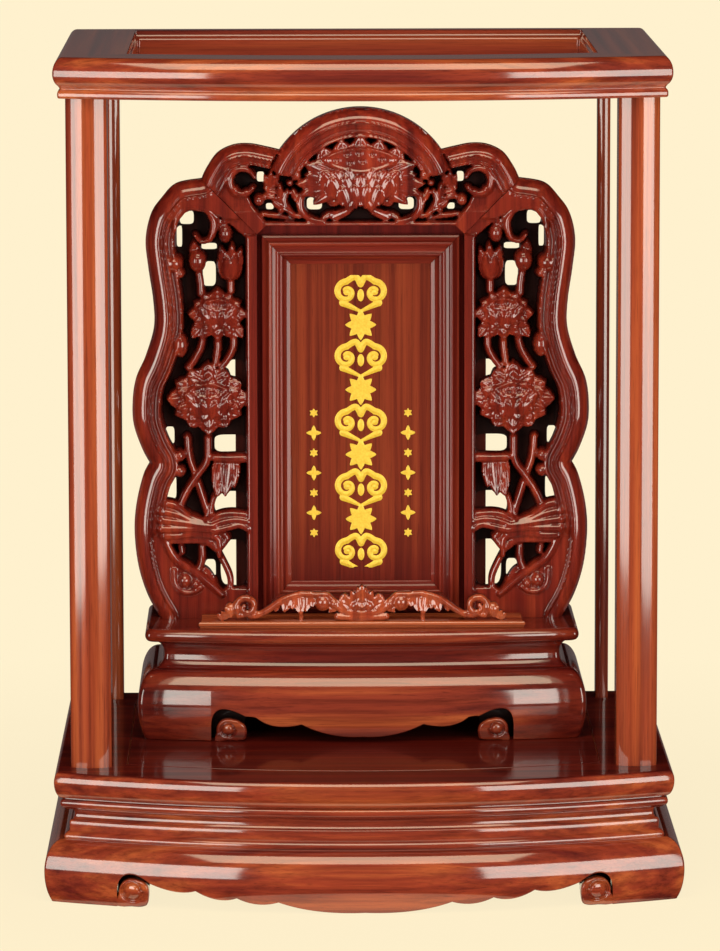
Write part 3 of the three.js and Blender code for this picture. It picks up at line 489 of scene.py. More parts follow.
class Plan:
    """A moulded frame's plan: straight sides and back, and a front that bows forward on an arc.

    Offsets count outwards from its edge. Corners are eased by a quadratic curve."""

    def __init__(self, half_width, corner_y, rear_y, bow, ease):
        self.half_width = half_width
        self.rear_y = rear_y
        self.ease = ease
        self.radius = (half_width**2 + bow**2) / (2 * bow)
        self.centre_y = corner_y - bow + self.radius

    def front_y(self, offset, x):
        return self.centre_y - np.sqrt((self.radius + offset) ** 2 - x**2)

    def loop(self, offset, steps=48):
        """The closed plan line [points, 2] at one offset, from the left front corner round."""
        x = self.half_width + offset
        corner_y = self.front_y(offset, x)
        back_y = self.rear_y + offset
        ease = self.ease
        reach = x - ease
        along = np.linspace(-reach, reach, steps + 1)
        front = np.stack([along, self.front_y(offset, along)], -1)
        right = bend(front[-1], (x, corner_y), (x, corner_y + ease), steps=6)[1:]
        rear_right = bend((x, back_y - ease), (x, back_y), (x - ease, back_y), steps=6)
        left_side = np.concatenate([right, rear_right])[::-1] * (-1, 1)
        return np.concatenate([front, right, rear_right, left_side])

    def rings(self, edge, steps=48):
        """Loops at each (offset, z) of an edge."""
        return [at_height(self.loop(offset, steps), z) for offset, z in edge]


# Sections of a rail: evenly along the front and the sides, spreading towards a mitre, and round the corner,
# and how far before the mitres of the front and of the sides the even ones end
FRONT_SECTIONS = 60
SIDE_SECTIONS = 8
SPREAD_SECTIONS = 8
CORNER_SECTIONS = 4
FRONT_SPREAD = 16
SIDE_SPREAD = 12


def stations(middle):
    """Where a rail has its sections: at the given places, then spreading to both mitres.

    Returns the place, the share of the way to the corner and the share of the corner's curve."""
    middle = np.asarray(middle, float)
    count = SPREAD_SECTIONS + CORNER_SECTIONS
    end = np.full(count, middle[-1])
    start = np.full(count, middle[0])
    share = np.concatenate([np.linspace(0, 1, SPREAD_SECTIONS + 1)[1:], np.ones(CORNER_SECTIONS)])
    turn = np.concatenate([np.zeros(SPREAD_SECTIONS), np.linspace(0, 0.5, CORNER_SECTIONS + 1)[1:]])
    place = np.concatenate([start, middle, end])
    share = np.concatenate([share[::-1], np.zeros(len(middle)), share])
    turn = np.concatenate([turn[::-1], np.zeros(len(middle)), turn])
    return place, share, turn


def eased(start, corner, end, turn):
    """Points at the share `turn` of a quadratic curve."""
    return (1 - turn) ** 2 * start + 2 * turn * (1 - turn) * corner + turn**2 * end


def across_rail(plan, side, line, where, back=False):
    """A front or rear rail's points [stations, rows, 2], from mitre to mitre.

    side and line are the rows' offsets at the sides and along this rail."""
    place, share, turn = (values[:, None] for values in where)
    sign = np.sign(place)
    corner_x = plan.half_width + side
    reach = corner_x - plan.ease
    x = place + sign * share * (reach - np.abs(place))

    def line_y(at):
        return plan.rear_y + line + 0 * at if back else plan.front_y(line, at)

    corner_y = line_y(corner_x)
    inward = -plan.ease if back else plan.ease
    curve_x = eased(x, sign * corner_x, sign * corner_x, turn)
    curve_y = eased(line_y(x), corner_y, corner_y + inward, turn)
    return np.stack([np.where(turn > 0, curve_x, x), np.where(turn > 0, curve_y, line_y(x))], -1)


def along_rail(plan, side, front, rear, where, hand):
    """A side rail's points [stations, rows, 2], from the front mitre to the rear one."""
    place, share, turn = (values[:, None] for values in where)
    x = plan.half_width + side
    front_y = plan.front_y(front, x)
    rear_y = plan.rear_y + rear
    middle = np.mean([place.min(), place.max()])
    at_front = place < middle
    limit = np.where(at_front, front_y + plan.ease, rear_y - plan.ease)
    y = place + share * (limit - place)
    corner_y = np.where(at_front, front_y, rear_y)
    inner_x = x - plan.ease
    inner_y = np.where(at_front, plan.front_y(front, inner_x), rear_y)
    curve_x = eased(x, x, inner_x, turn)
    curve_y = eased(y, corner_y, inner_y, turn)
    turned = turn > 0
    points = np.stack([np.where(turned, curve_x, x + 0 * y), np.where(turned, curve_y, y)], -1)
    points[..., 0] *= hand
    return points


def with_heights(plan_points, z):
    """Plan points [stations, rows, 2] with a height for each."""
    heights = np.broadcast_to(z, plan_points.shape[:2])
    return np.concatenate([plan_points, heights[..., None]], -1)


def plain_rails(prefix, plan, rows):
    """Four mitred rails with one section. rows are (side, front, rear offset, z)."""
    side, front, rear, z = np.array(rows, float).T
    reach = plan.half_width + min(side.min(), 0) - FRONT_SPREAD
    across = stations(np.linspace(-reach, reach, FRONT_SECTIONS + 1))
    depth_from = plan.front_y(front.min(), plan.half_width) + SIDE_SPREAD
    depth_to = plan.rear_y + rear.min() - SIDE_SPREAD
    along = stations(np.linspace(depth_from, depth_to, SIDE_SECTIONS + 1))
    add_piece(f"{prefix}_front", skin(with_heights(across_rail(plan, side, front, across), z)))
    add_piece(f"{prefix}_rear", skin(with_heights(across_rail(plan, side, rear, across, True), z)))
    for hand, word in ((-1, "left"), (1, "right")):
        points = along_rail(plan, side, front, rear, along, hand)
        add_piece(f"{prefix}_{word}", skin(with_heights(points, z)))


# Skirts: the rounding of the lower edge, the rows over the belly, and how far inside the corners the feet
# of the front and of the sides end
EDGE = 1.2
BELLY_ROWS = 29
FRONT_FOOT_INSET = 8
SIDE_FOOT_INSET = 14


def belly_rise(above, height):
    """The upright radius of a belly's ellipse: half the height above its middle, and more below it."""
    return np.where(above, height / 2, height / 2 / math.sin(math.radians(-BELLY_FOOT_ANGLE)))


def belly(z, height, bulge):
    """How far a skirt's belly stands out at a height above its foot: a half ellipse, blunter below."""
    share = np.clip((z - height / 2) / belly_rise(z > height / 2, height), -1, 1)
    return bulge - BELLY_SWELL + BELLY_SWELL * np.sqrt(1 - share**2)


def skirt_rows(under, height, bulge, thickness):
    """Rows of (offset, height) for sections whose lower edge is at the heights `under`.

    They run over the belly to a rounded lower edge and up the inner face."""
    under = under[:, None]
    edge = under + EDGE
    rise = belly_rise(edge > height / 2, height)
    end = np.degrees(np.arcsin(np.clip((edge - height / 2) / rise, -1, 1)))
    angle = np.radians(90 + (end - 90) * np.linspace(0, 1, BELLY_ROWS))
    offset = bulge - BELLY_SWELL + BELLY_SWELL * np.cos(angle)
    z = height / 2 + belly_rise(angle > 0, height) * np.sin(angle)
    turn = np.radians([-25, -50, -72, -90])
    edge_offset = offset[:, -1:] - EDGE + EDGE * np.cos(turn)
    edge_z = edge + EDGE * np.sin(turn)
    inner = bulge - thickness
    one = np.ones_like(under)
    inner_offset = one * (inner + 0.8, inner, inner, inner + SUPPORT)
    inner_z = np.hstack([under, under + 0.8, one * (height - SUPPORT), one * height])
    return np.hstack([offset, edge_offset, inner_offset]), np.hstack([z, edge_z, inner_z])


def under_line(curves, wall):
    """The lower edge from the middle outwards, as (distance, height), and down the wall to the foot."""
    line = np.concatenate([curve[1:] for curve in curves])
    line = np.vstack([curves[0][:1], line])
    return np.vstack([line, [(wall, line[-1, 1] * share) for share in (0.75, 0.5, 0.25, 0)]])


# Scrolls: the coil's middle from the middle of the skirt, its height, and the wall beyond it. On the sides
# the coils lie at a distance from the corners
BASE_SCROLL = (166.8, 12.6)
BASE_WALL = 10.6
BASE_SIDE_SCROLL = BASE_HALF_WIDTH + BASE_SKIRT_BULGE - BASE_SCROLL[0]
PEDESTAL_SCROLL = (99.2, 9.1)
PEDESTAL_WALL = 12.2
PEDESTAL_SIDE_SCROLL = 36


def base_arch(centre):
    """The arch over a scroll of the base, from its inner end to the wall."""
    wall = centre + BASE_WALL
    return bend((centre - 13, 18.9), (centre - 6, 25), (centre + 9.8, 31), (wall, 12), steps=18)


def base_front_under():
    """The base front's lower edge: a long lobe, two small cusped lobes, a shoulder and the arch."""
    centre = BASE_SCROLL[0]
    curves = [
        bend((0, 0.5), (36, -1.2), (61.8, 8.2), steps=16),
        bend((61.8, 8.2), (77, 3.3), (91.5, 10.6), steps=10),
        bend((91.5, 10.6), (105, 5.5), (121, 14.9), steps=10),
        bend((121, 14.9), (134, 10.7), (centre - 13, 18.9), steps=10),
        base_arch(centre),
    ]
    return under_line(curves, centre + BASE_WALL)


def base_side_under(centre):
    """The base side's lower edge: one long lobe, a shoulder and the arch."""
    cusp = centre - 40
    curves = [
        bend((0, 0.5), (cusp * 0.58, -0.5), (cusp, 12.5), steps=16),
        bend((cusp, 12.5), (cusp + 12, 8.7), (centre - 13, 18.9), steps=10),
        base_arch(centre),
    ]
    return under_line(curves, centre + BASE_WALL)


def pedestal_arch(centre):
    """The arch over a scroll of the pedestal, from its inner end to the wall."""
    wall = centre + PEDESTAL_WALL
    return bend((centre - 13.2, 19.4), (centre - 4, 24), (centre + 11.5, 31.5), (wall, 12), steps=18)


def pedestal_front_under():
    """The pedestal front's lower edge: a middle lobe, a cusp, a side lobe, a shoulder and the arch."""
    centre = PEDESTAL_SCROLL[0]
    curves = [
        bend((0, 4.1), (24, 2.6), (44.7, 13.8), steps=14),
        bend((44.7, 13.8), (66, 8.2), (78, 18.6), steps=14),
        bend((78, 18.6), (81, 19.6), (centre - 13.2, 19.4), steps=3),
        pedestal_arch(centre),
    ]
    return under_line(curves, centre + PEDESTAL_WALL)


def pedestal_side_under(centre):
    """The pedestal side's lower edge: one lobe between its two arches."""
    curves = [
        bend((0, 9), ((centre - 13.2) * 0.6, 9), (centre - 13.2, 19.4), steps=12),
        pedestal_arch(centre),
    ]
    return under_line(curves, centre + PEDESTAL_WALL)


def mirrored_under(line, foot):
    """Stations across a rail and their lower edge, from one foot's straight part to the other's."""
    distance = np.append(line[:, 0], foot)
    height = np.append(line[:, 1], 0)
    creep = 0.002 * np.arange(len(distance))
    distance = np.maximum.accumulate(distance) + creep
    place = np.concatenate([-distance[::-1], distance[1:]])
    return place, np.concatenate([height[::-1], height[1:]])


# The outlines of the scrolls' coils: an angle from straight outwards, and the reach there as a share of the
# height of the coil's middle above the foot. Low on the outside each coil joins the wall.
BASE_COIL = [
    (-90, 1.0), (-60, 1.14), (-45, 1.32), (-35, 1.1), (-20, 0.82), (0, 0.74), (30, 0.7), (60, 0.68),
    (90, 0.69), (120, 0.75), (140, 0.87), (160, 0.95), (180, 0.99), (200, 1.04), (215, 1.14), (227, 1.2),
    (245, 1.1), (270, 1.0),
]
PEDESTAL_COIL = [
    (-90, 1.0), (-60, 1.15), (-45, 1.45), (-37, 1.3), (-22, 1.0), (0, 0.92), (30, 0.9), (60, 0.9),
    (90, 0.9), (120, 0.96), (147, 1.2), (165, 1.42), (180, 1.53), (200, 1.62), (212, 1.66), (225, 1.4),
    (245, 1.1), (270, 1.0),
]


# A coil's boss and spiral groove, as shares of the height of its middle, and its dome and the least height of
# its points above the foot in millimetres
BOSS_RADIUS = 0.46
SPIRAL_RADIUS = 0.62
SPIRAL_INWARDS = 0.12
SPIRAL_WIDTH = 0.085
COIL_DOME = 1.8
COIL_LOWEST = 0.05

# How far before a skirt's inner face the coils end, and where the wood behind them begins and ends
COIL_BACK = 8
GROUND_FRONT = 6
GROUND_BACK = 1


def coil(centre, outline, depth):
    """A scroll's coil, as rings of (distance, height, relief): a domed boss in a spiral groove.

    The groove winds inwards by a fifth of its radius in one turn. Relief counts backwards."""
    middle, lift = centre
    angles = np.linspace(-90, 270, 73)[:-1]
    known, shares = np.array(outline).T
    radius = np.interp(angles, known, shares) * lift
    boss = BOSS_RADIUS * lift
    winding = ((angles - 180) % 360) / 360
    groove = lift * (SPIRAL_RADIUS - SPIRAL_INWARDS * winding)
    free = np.clip(np.abs(angles + 50) / 12 - 1.4, 0, 1)
    turn = np.radians(angles)
    rings = []
    for share in np.concatenate([np.linspace(0.03, 0.88, 28), [0.92, 0.96, 0.985, 1.0]]):
        r = radius * share
        dome = np.where(r < boss, COIL_DOME * np.sqrt(np.clip(1 - (r / boss) ** 2, 0, 1)), 0)
        valley = depth * np.exp(-(((r - groove) / (SPIRAL_WIDTH * lift)) ** 2))
        rim = (1.8 * np.clip((share - 0.88) / 0.12, 0, 1) ** 2 + 0.8 * share) * free
        height = np.maximum(lift + r * np.sin(turn), COIL_LOWEST)
        rings.append(np.stack([middle + r * np.cos(turn), height, valley + rim - dome], -1))
    return np.array(rings)


def backing(centre, arch, depth, thickness):
    """The wood deep behind a scroll, in the outline of its arch, as rings of (distance, height, relief)."""
    middle, _ = centre
    wall = arch[-1, 0]
    outline = np.concatenate([arch, [(wall, 0.1), (middle, 0.1), (middle - 10, 0.3), (middle - 12, 9)]])
    rings = []
    for share, relief in ((0.02, depth), (0.6, depth), (1.0, depth), (1.0, thickness), (0.02, thickness)):
        rings.append(at_height(outline.mean(0) + (outline - outline.mean(0)) * share, relief))
    return np.array(rings)


def coil_shell(rings, place_of, back):
    """A closed shell of coil rings: place_of turns (distance, height, relief) into a point."""
    surface = place_of(rings[..., 0], rings[..., 1], rings[..., 2])
    rim = rings[-1]
    rear = place_of(rim[..., 0], rim[..., 1], np.full(len(rim), back))
    return skin(np.concatenate([surface, rear[None]]))


def scroll_shells(centre, outline, groove, arch, thickness, place_of):
    """Both scrolls of one skirt piece: a coil each, and the wood behind it."""
    rings = coil(centre, outline, groove)
    behind = backing(centre, arch, thickness - GROUND_FRONT, thickness - GROUND_BACK)
    back = thickness - COIL_BACK
    coils = []
    grounds = []
    for side in (-1, 1):
        coils.append(coil_shell(rings, lambda d, z, r, s=side: place_of(s * d, z, r), back))
        grounds.append(skin(place_of(side * behind[..., 0], behind[..., 1], behind[..., 2])))
    return coils, grounds


def belly_slopes(sample, actual):
    """Normals for rows of a belly: taken from an evenly divided copy of the same surface, by height.

    Both are points [stations, rows, 3]. So the lower edge's shape doesn't show in the shading."""
    along = np.gradient(sample, axis=0)
    down = np.gradient(sample, axis=1)
    slope = np.cross(along, down)
    slope /= np.maximum(np.linalg.norm(slope, axis=-1, keepdims=True), 1e-9)
    result = np.zeros_like(actual)
    for station in range(len(sample)):
        heights = sample[station, ::-1, 2]
        for part in range(3):
            result[station, :, part] = np.interp(actual[station, :, 2], heights, slope[station, ::-1, part])
    outwards = sample - sample.mean((0, 1))
    return result * np.sign(np.sum(slope * outwards))


def skirt(prefix, plan, z0, section, scroll, outline, groove, arch_over, front_under, side_under,
          side_scroll, plain_rear=False):
    """Four mitred skirt pieces, each with its cusped edge and two coils. The rear one can be plain.

    section is the height, bulge and thickness. arch_over(centre) gives the arch over a scroll, and
    side_under(centre) the lower edge of a side."""
    height, bulge, thickness = section
    corner_y = plan.front_y(bulge, plan.half_width + bulge)
    half = (plan.rear_y + bulge - corner_y) / 2
    middle = corner_y + half
    hands = {"left": -1, "right": 1}

    def piece(word, place_points, under, shells):
        """One mitred piece with smooth belly shading. place_points(offsets) gives its plan points."""

        def surface(line):
            offsets, heights = skirt_rows(line, height, bulge, thickness)
            return with_heights(place_points(offsets), heights + z0)

        body = surface(under)
        sample = surface(np.zeros_like(under))[:, :BELLY_ROWS]
        slopes = np.zeros_like(body)
        slopes[:, :BELLY_ROWS] = belly_slopes(sample, body[:, :BELLY_ROWS])
        slopes = slopes.reshape(-1, 3)
        node = f"{prefix}_apron_{word}"
        coils, grounds = shells
        made = add_piece(node, merged(skin(body), *coils))
        if grounds:
            # The wood behind the scrolls is near black: painted shade of the deep gap
            add_piece(node, merged(*grounds), SHADE_PAINTED_WOOD, f"{node}_scroll_ground", replaces=False)
        extra = np.zeros((len(made.data.vertices) - len(slopes), 3))
        made.data.normals_split_custom_set_from_vertices(np.vstack([slopes, extra]))

    def shells_of(word, centre):
        """The scrolls of one piece, with their middles at a distance from its own middle."""

        def place(along, z, relief):
            offset = belly(z, height, bulge) - relief
            if word in hands:
                return np.stack([hands[word] * (plan.half_width + offset), middle + along, z + z0], -1)
            y = plan.front_y(offset, along) if word == "front" else plan.rear_y + offset
            return np.stack([along, y, z + z0], -1)

        return scroll_shells((centre, scroll[1]), outline, groove, arch_over(centre), thickness, place)

    foot = plan.half_width + bulge - thickness - FRONT_FOOT_INSET
    place, under = mirrored_under(front_under, foot)
    where = stations(place)
    under = np.pad(under, (len(where[0]) - len(place)) // 2)
    piece("front", lambda o: across_rail(plan, o, o, where), under, shells_of("front", scroll[0]))
    rear_under = np.zeros_like(under) if plain_rear else under
    shells = ([], []) if plain_rear else shells_of("rear", scroll[0])
    piece("rear", lambda o: across_rail(plan, o, o, where, True), rear_under, shells)

    centre = half - side_scroll
    line = side_under(centre)
    place, under = mirrored_under(line, max(half + bulge - thickness - SIDE_FOOT_INSET, line[-1, 0] + 1))
    along = stations(place + middle)
    under = np.pad(under, (len(along[0]) - len(place)) // 2)
    for word, hand in hands.items():
        piece(word, lambda o, h=hand: along_rail(plan, o, o, o, along, h), under, shells_of(word, centre))


BASE_PLAN = Plan(BASE_HALF_WIDTH, BASE_CORNER_Y, BASE_REAR_Y, BASE_BOW, 1.2)
TOP_PLAN = Plan(TOP_HALF_WIDTH, TOP_CORNER_Y, TOP_REAR_Y, TOP_BOW, 1.4)
PEDESTAL_PLAN = Plan(PEDESTAL_HALF_WIDTH, PEDESTAL_CORNER_Y, PEDESTAL_REAR_Y, PEDESTAL_BOW, 4)


def same_offsets(points):
    """Rows of (side, front, rear offset, z) from points (offset, z)."""
    return [(o, o, o, z) for o, z in points]


def base():
    """Skirt, waist rails and grooved floor board of the shrine."""
    section = (BASE_SKIRT_HEIGHT, BASE_SKIRT_BULGE, BASE_SKIRT_THICKNESS)
    skirt(
        "base", BASE_PLAN, 0, section, BASE_SCROLL, BASE_COIL, 2.2,
        base_arch, base_front_under(), base_side_under, BASE_SIDE_SCROLL,
    )
    waist = np.concatenate([
        bend((-4.3, 45), (-3.4, 47), (-4.6, 49.4), (-7.8, 50.3), steps=8),
        [(-7.8, 53), (-7.8, 56.6)],
        bend((-7.8, 56.6), (-7.8, 58.2), (-10.4, 58.5), steps=5)[1:],
        bend((-10.4, 58.5), (-12.2, 61), (-12, 64.6), (-9.6, 65.8), steps=8)[1:],
        bend((-9.6, 65.8), (-5.6, 66.2), (-4, 67.6), steps=6)[1:],
        arc(-4, 71, 2.5, 3.2, -90, 90, 10)[1:],
        [(-4.2, 75), (-28, 75), (-28, 45)],
    ])
    plain_rails("base_waist", BASE_PLAN, same_offsets(waist))
    board()


# A groove of the floor board: distance from its middle and share of its depth
GROOVE_SECTION = ((0.9, 0), (0.55, 0.25), (0.35, 1), (-0.35, 1), (-0.55, 0.25), (-0.9, 0))


def board():
    """The floor board: a blunt half-round edge, and grooves that frame the tablet's place.

    The top is drawn by loops; those of the grooves dip, except along the back where there is none."""
    plan = BASE_PLAN
    edge = np.concatenate([
        arc(-3, BOARD_Z + 11.5, BOARD_NOSE + 3, 11.5, -90, 0, 12),
        arc(-1, BOARD_Z + 11.5, BOARD_NOSE + 1, 7.5, 0, 90, 10)[1:],
    ])
    steps = 72
    rings = plan.rings([(-3 - SUPPORT, BOARD_Z), *edge, (-1 - SUPPORT, FLOOR_Z)], steps)
    for inset, dip in GROOVE_SECTION:
        side = SIDE_GROOVE_SETBACK - inset
        front = FRONT_GROOVE_SETBACK - inset
        x = BASE_HALF_WIDTH - side
        along = np.linspace(-x, x, steps + 1)
        front_line = np.stack([along, plan.front_y(-front, along)], -1)
        corner_y = front_line[-1, 1]
        rear_y = SIDE_GROOVE_REAR_Y + inset
        right = np.column_stack([np.full(13, x), np.linspace(corner_y, rear_y, 14)[1:]])
        line = np.concatenate([front_line, right, right[::-1] * (-1, 1)])
        behind = np.clip((SIDE_GROOVE_REAR_Y - 1 - line[:, 1]) / 4, 0, 1)
        rings.append(np.column_stack([line, FLOOR_Z - GROOVE_DEPTH * dip * behind]))
    add_piece("base_board", skin(np.array(rings)))


def posts():
    """Four posts: square back, a front that bulges on an arc, and small rounded edges."""
    for post, where in ((FRONT_POST, "front"), (REAR_POST, "rear")):
        half = post["width"] / 2
        crown = post["crown"]
        radius = (half**2 + crown**2) / (2 * crown)
        swing = math.degrees(math.asin(half / radius))
        edge = post["edge"]
        front = post["front_y"]
        rear = front + post["depth"]
        trim = math.degrees(edge / radius)
        face = arc(0, 0, radius, radius, -90 - swing + trim, -90 + swing - trim, 20)
        face[:, 1] += front + radius
        side_y = front + crown
        right = bend(face[-1], (half, side_y), (half, side_y + edge), steps=5)[1:]
        rear_right = bend((half, rear - edge), (half, rear), (half - edge, rear), steps=5)
        left = np.concatenate([right, rear_right])[::-1] * (-1, 1)
        section = np.concatenate([face, right, rear_right, left])
        for hand, word in ((-1, "left"), (1, "right")):
            line = section + (hand * post["x"], 0)
            rings = [at_height(line, z) for z in np.linspace(FLOOR_Z, POST_TOP_Z, 5)]
            add_piece(f"post_{where}_{word}", skin(np.array(rings)))


def top_frame():
    """Four mitred rails: a bead, a neck and a deep half-round nose outside, an ogee inside."""
    z = POST_TOP_Z
    h = TOP_HEIGHT
    outside = np.concatenate([
        [(0, z)],
        bend((1.6, z), (2.8, z + 0.2), (2.8, z + 2.2), steps=4),
        bend((2.8, z + 3.2), (2.8, z + 5.2), (1.2, z + 6.2), steps=5),
        bend((1.2, z + 6.2), (0.6, z + 7.0), (1.6, z + 8.0), steps=5)[1:],
        arc(-1, z + h * 0.6, TOP_NOSE + 1, h * 0.33, -62, 0, 12),
        arc(-1, z + h * 0.6, TOP_NOSE + 1, h * 0.4, 0, 88, 16)[1:],
        [(-1.6, z + h)],
    ])
    inside = np.concatenate([
        [(-0.9, z + h)],
        bend((-0.6, z + h), (0, z + h), (0, z + h - 0.6), steps=4),
        [(0, z + h - 3)],
        bend((0, z + h - 3), (-0.2, z + h - 6), (-2.7, z + h - 5), (-2.7, z + h - 8), steps=8)[1:],
        [(-2.7, z + 0.6), (-3.3, z)],
    ])
    rows = same_offsets(outside)
    rows += [(o - TOP_SIDE_RAIL, o - TOP_FRONT_RAIL, o - TOP_REAR_RAIL, at) for o, at in inside]
    plain_rails("top_rail", TOP_PLAN, rows)


def pedestal():
    """Skirt, scotia neck and moulded board of the tablet's pedestal."""
    section = (PEDESTAL_SKIRT_HEIGHT, PEDESTAL_SKIRT_BULGE, PEDESTAL_SKIRT_THICKNESS)
    skirt(
        "pedestal", PEDESTAL_PLAN, PEDESTAL_Z, section, PEDESTAL_SCROLL, PEDESTAL_COIL, 1.8,
        pedestal_arch, pedestal_front_under(), pedestal_side_under, PEDESTAL_SIDE_SCROLL, plain_rear=True,
    )
    z = NECK_Z
    neck = np.concatenate([
        [(-4.6, z)],
        bend((-4.3, z + 0.2), (-8.8, z + 2.2), (-9.5, z + 7), (-9.6, z + 10), steps=12),
        bend((-9.6, z + 10), (-9.6, z + 17), (-6, z + 19.4), (-2.4, PEDESTAL_BOARD_Z), steps=12)[1:],
    ])
    hollow = [(-23.5, PEDESTAL_BOARD_Z), (-23.5, NECK_Z)]
    add_piece("pedestal_neck", skin(np.array(PEDESTAL_PLAN.rings([*neck, *hollow])), looped=True))

    middle = PEDESTAL_BOARD_Z + (PANEL_Z - PEDESTAL_BOARD_Z) / 2
    rise = (PANEL_Z - PEDESTAL_BOARD_Z) / 2
    edge = np.concatenate([
        [(-SUPPORT, PEDESTAL_BOARD_Z)],
        arc(0, middle, PEDESTAL_NOSE, rise, -90, 90, 20),
        [(-SUPPORT, PANEL_Z)],
    ])
    add_piece("pedestal_board", skin(np.array(PEDESTAL_PLAN.rings(edge))))


def sill():
    """The low step in front of the panel: a rounded nose over a fine groove."""
    z = PANEL_Z
    top = SILL_TOP
    nose = np.concatenate([
        [(0, z), (-0.6, z), (-0.6, z + 0.7)],
        bend((-0.6, z + 0.7), (0.9, z + 1.3), (0.9, top), (-1.6, top), steps=10),
        [(-36, top), (-36, z)],
    ])
    offset, height = nose.T
    rings = []
    for share in np.linspace(-1, 1, 9):
        x = share * (SILL_HALF_WIDTH + np.where(offset > -30, offset, -1.6))
        rings.append(np.stack([x, SILL_FRONT_Y - offset, height], -1))
    add_piece("sill", skin(np.array(rings)))


def inscription_frame():
    """Four mitred members. The section runs from the outer edge inwards: a slope, a round ridge, a
    hollow band, a second ridge and a deep cove down to the board."""
    d = FRAME_DEPTH
    w = FRAME_WIDTH
    low = BACK_FRONT_Y - BOARD_FRONT_Y
    section = np.concatenate([
        [(0, 0), (w - 4, 0), (w - 4, low), (w, low)],
        bend((w, low + 0.6), (w - 0.1, low + 1.4), (w - 1.4, low + 1.5), steps=4),
        bend((w - 1.4, low + 1.5), (w - 5.2, low + 2), (w - 6, low + 6), steps=8)[1:],
        arc(w - 7.3, d - 2.3, 1.3, 1.3, 10, 150, 8),
        bend((w - 8.6, d - 1.9), (11.2, d - 3.4), (7.8, d - 1.9), steps=6)[1:],
        arc(6, d - 1.7, 1.7, 1.7, 10, 150, 8),
        bend((4.2, d - 1.7), (2.6, d - 4.6), (0.3, d - 5.6), steps=5)[1:],
        [(0, d - 6.2)],
    ])
    o, up = section.T
    y = BACK_FRONT_Y - up
    x = FRAME_OUTER_X - o
    for which in ("top", "bottom", "left", "right"):
        rings = []
        for share in np.linspace(-1, 1, 7):
            if which in ("top", "bottom"):
                z = FRAME_TOP_Z - o if which == "top" else FRAME_BOTTOM_Z + o
                rings.append(np.stack([share * x, y, z], -1))
            else:
                hand = -1 if which == "left" else 1
                middle = (FRAME_TOP_Z + FRAME_BOTTOM_Z) / 2
                half = (FRAME_TOP_Z - FRAME_BOTTOM_Z) / 2 - o - MITRE_GAP
                rings.append(np.stack([hand * x, y, middle + share * half], -1))
        add_piece(f"inscription_frame_{which}", skin(np.array(rings)))


# Carvings: the sizes of the panel's parts, the cells of the grid and the height that counts as deep for the
# painted shade. A rim is the moulding along the outer edge, and a field is what is pierced
WING_INNER_X = 76.6
WING_OUTER_X = 171
WING_STRIP = 8
WING_RIM = 12.4
WING_BORDER = 21
WING_UPPER_Z = 474
SEAM_Z = 463.4
SEAM_REACH = 40.7
CREST_RADIUS = 72.8
CREST_CENTRE_Z = 484
CREST_ARCH_ANGLE = 34.5
CREST_CHAMFER = 6.7
CREST_VAULT_RADIUS = 51
ORNAMENT_HALF_WIDTH = 110
ORNAMENT_HEIGHT = 29
GRID = 0.65
DEEP = 7.0
FIELD_GROUND = 2.5
RECESS_CELLS = 11
BACK_SPAN = 4


def through(points, steps=8):
    """A smooth curve through points: in each span a cubic whose slopes follow the neighbouring points."""
    points = np.asarray(points, float)
    padded = np.vstack([points[:1], points, points[-1:]])
    before, start, end, later = padded[:-3], padded[1:-2], padded[2:-1], padded[3:]
    t = (np.arange(steps) / steps)[:, None, None]
    curve = 0.5 * (
        2 * start
        + (end - before) * t
        + (2 * before - 5 * start + 4 * end - later) * t**2
        + (3 * start - before - 3 * end + later) * t**3
    )
    return np.vstack([curve.transpose(1, 0, 2).reshape(-1, 2), points[-1:]])


def distance_to_line(line, x, z):
    """How far each place is from a line of points, and where along it, counted in points."""
    best = np.full(x.shape, np.inf)
    along = np.zeros(x.shape)
    for i, ((x0, z0), (x1, z1)) in enumerate(zip(line, line[1:])):
        dx, dz = x1 - x0, z1 - z0
        share = np.clip(((x - x0) * dx + (z - z0) * dz) / max(dx * dx + dz * dz, 1e-9), 0, 1)
        distance = np.hypot(x - x0 - share * dx, z - z0 - share * dz)
        nearer = distance < best
        best = np.where(nearer, distance, best)
        along = np.where(nearer, i + share, along)
    return best, along


def inside_distance(polygon, x, z):
    """The distance to a closed outline, positive inside and negative outside."""
    inside = np.zeros(x.shape, bool)
    closed = np.vstack([polygon, polygon[:1]])
    for (x0, z0), (x1, z1) in zip(closed, closed[1:]):
        if z0 != z1:
            crosses = ((z0 > z) != (z1 > z)) & (x < x0 + (x1 - x0) * (z - z0) / (z1 - z0))
            inside ^= crosses
    distance, _ = distance_to_line(closed, x, z)
    return np.where(inside, distance, -distance)


def rounded(distance, radius):
    """How far a rounded edge falls below the face beside it, at a distance inside its outline."""
    share = np.clip(1 - distance / radius, 0, 1)
    return radius * (1 - np.sqrt(1 - share**2))


def back_faces(cells, calm, number):
    """Two sets of quads that cover the cells of a grid: wide ones over calm places, and single ones.

    number gives the point at each crossing of the grid."""
    span = BACK_SPAN
    tall, wide = calm.shape[0] // span, calm.shape[1] // span
    blocks = calm[: tall * span, : wide * span].reshape(tall, span, wide, span).all((1, 3))
    single = cells.copy()
    single[: tall * span, : wide * span] &= ~np.kron(blocks, np.ones((span, span), bool))
    sets = []
    for chosen, size in ((blocks, span), (single, 1)):
        rows, columns = (place * size for place in np.nonzero(chosen))
        turns = ((1, 0), (1, 1), (0, 1), (0, 0))
        corners = [number[rows + a * size, columns + b * size] for a, b in turns]
        sets.append(np.stack(corners, -1))
    return sets


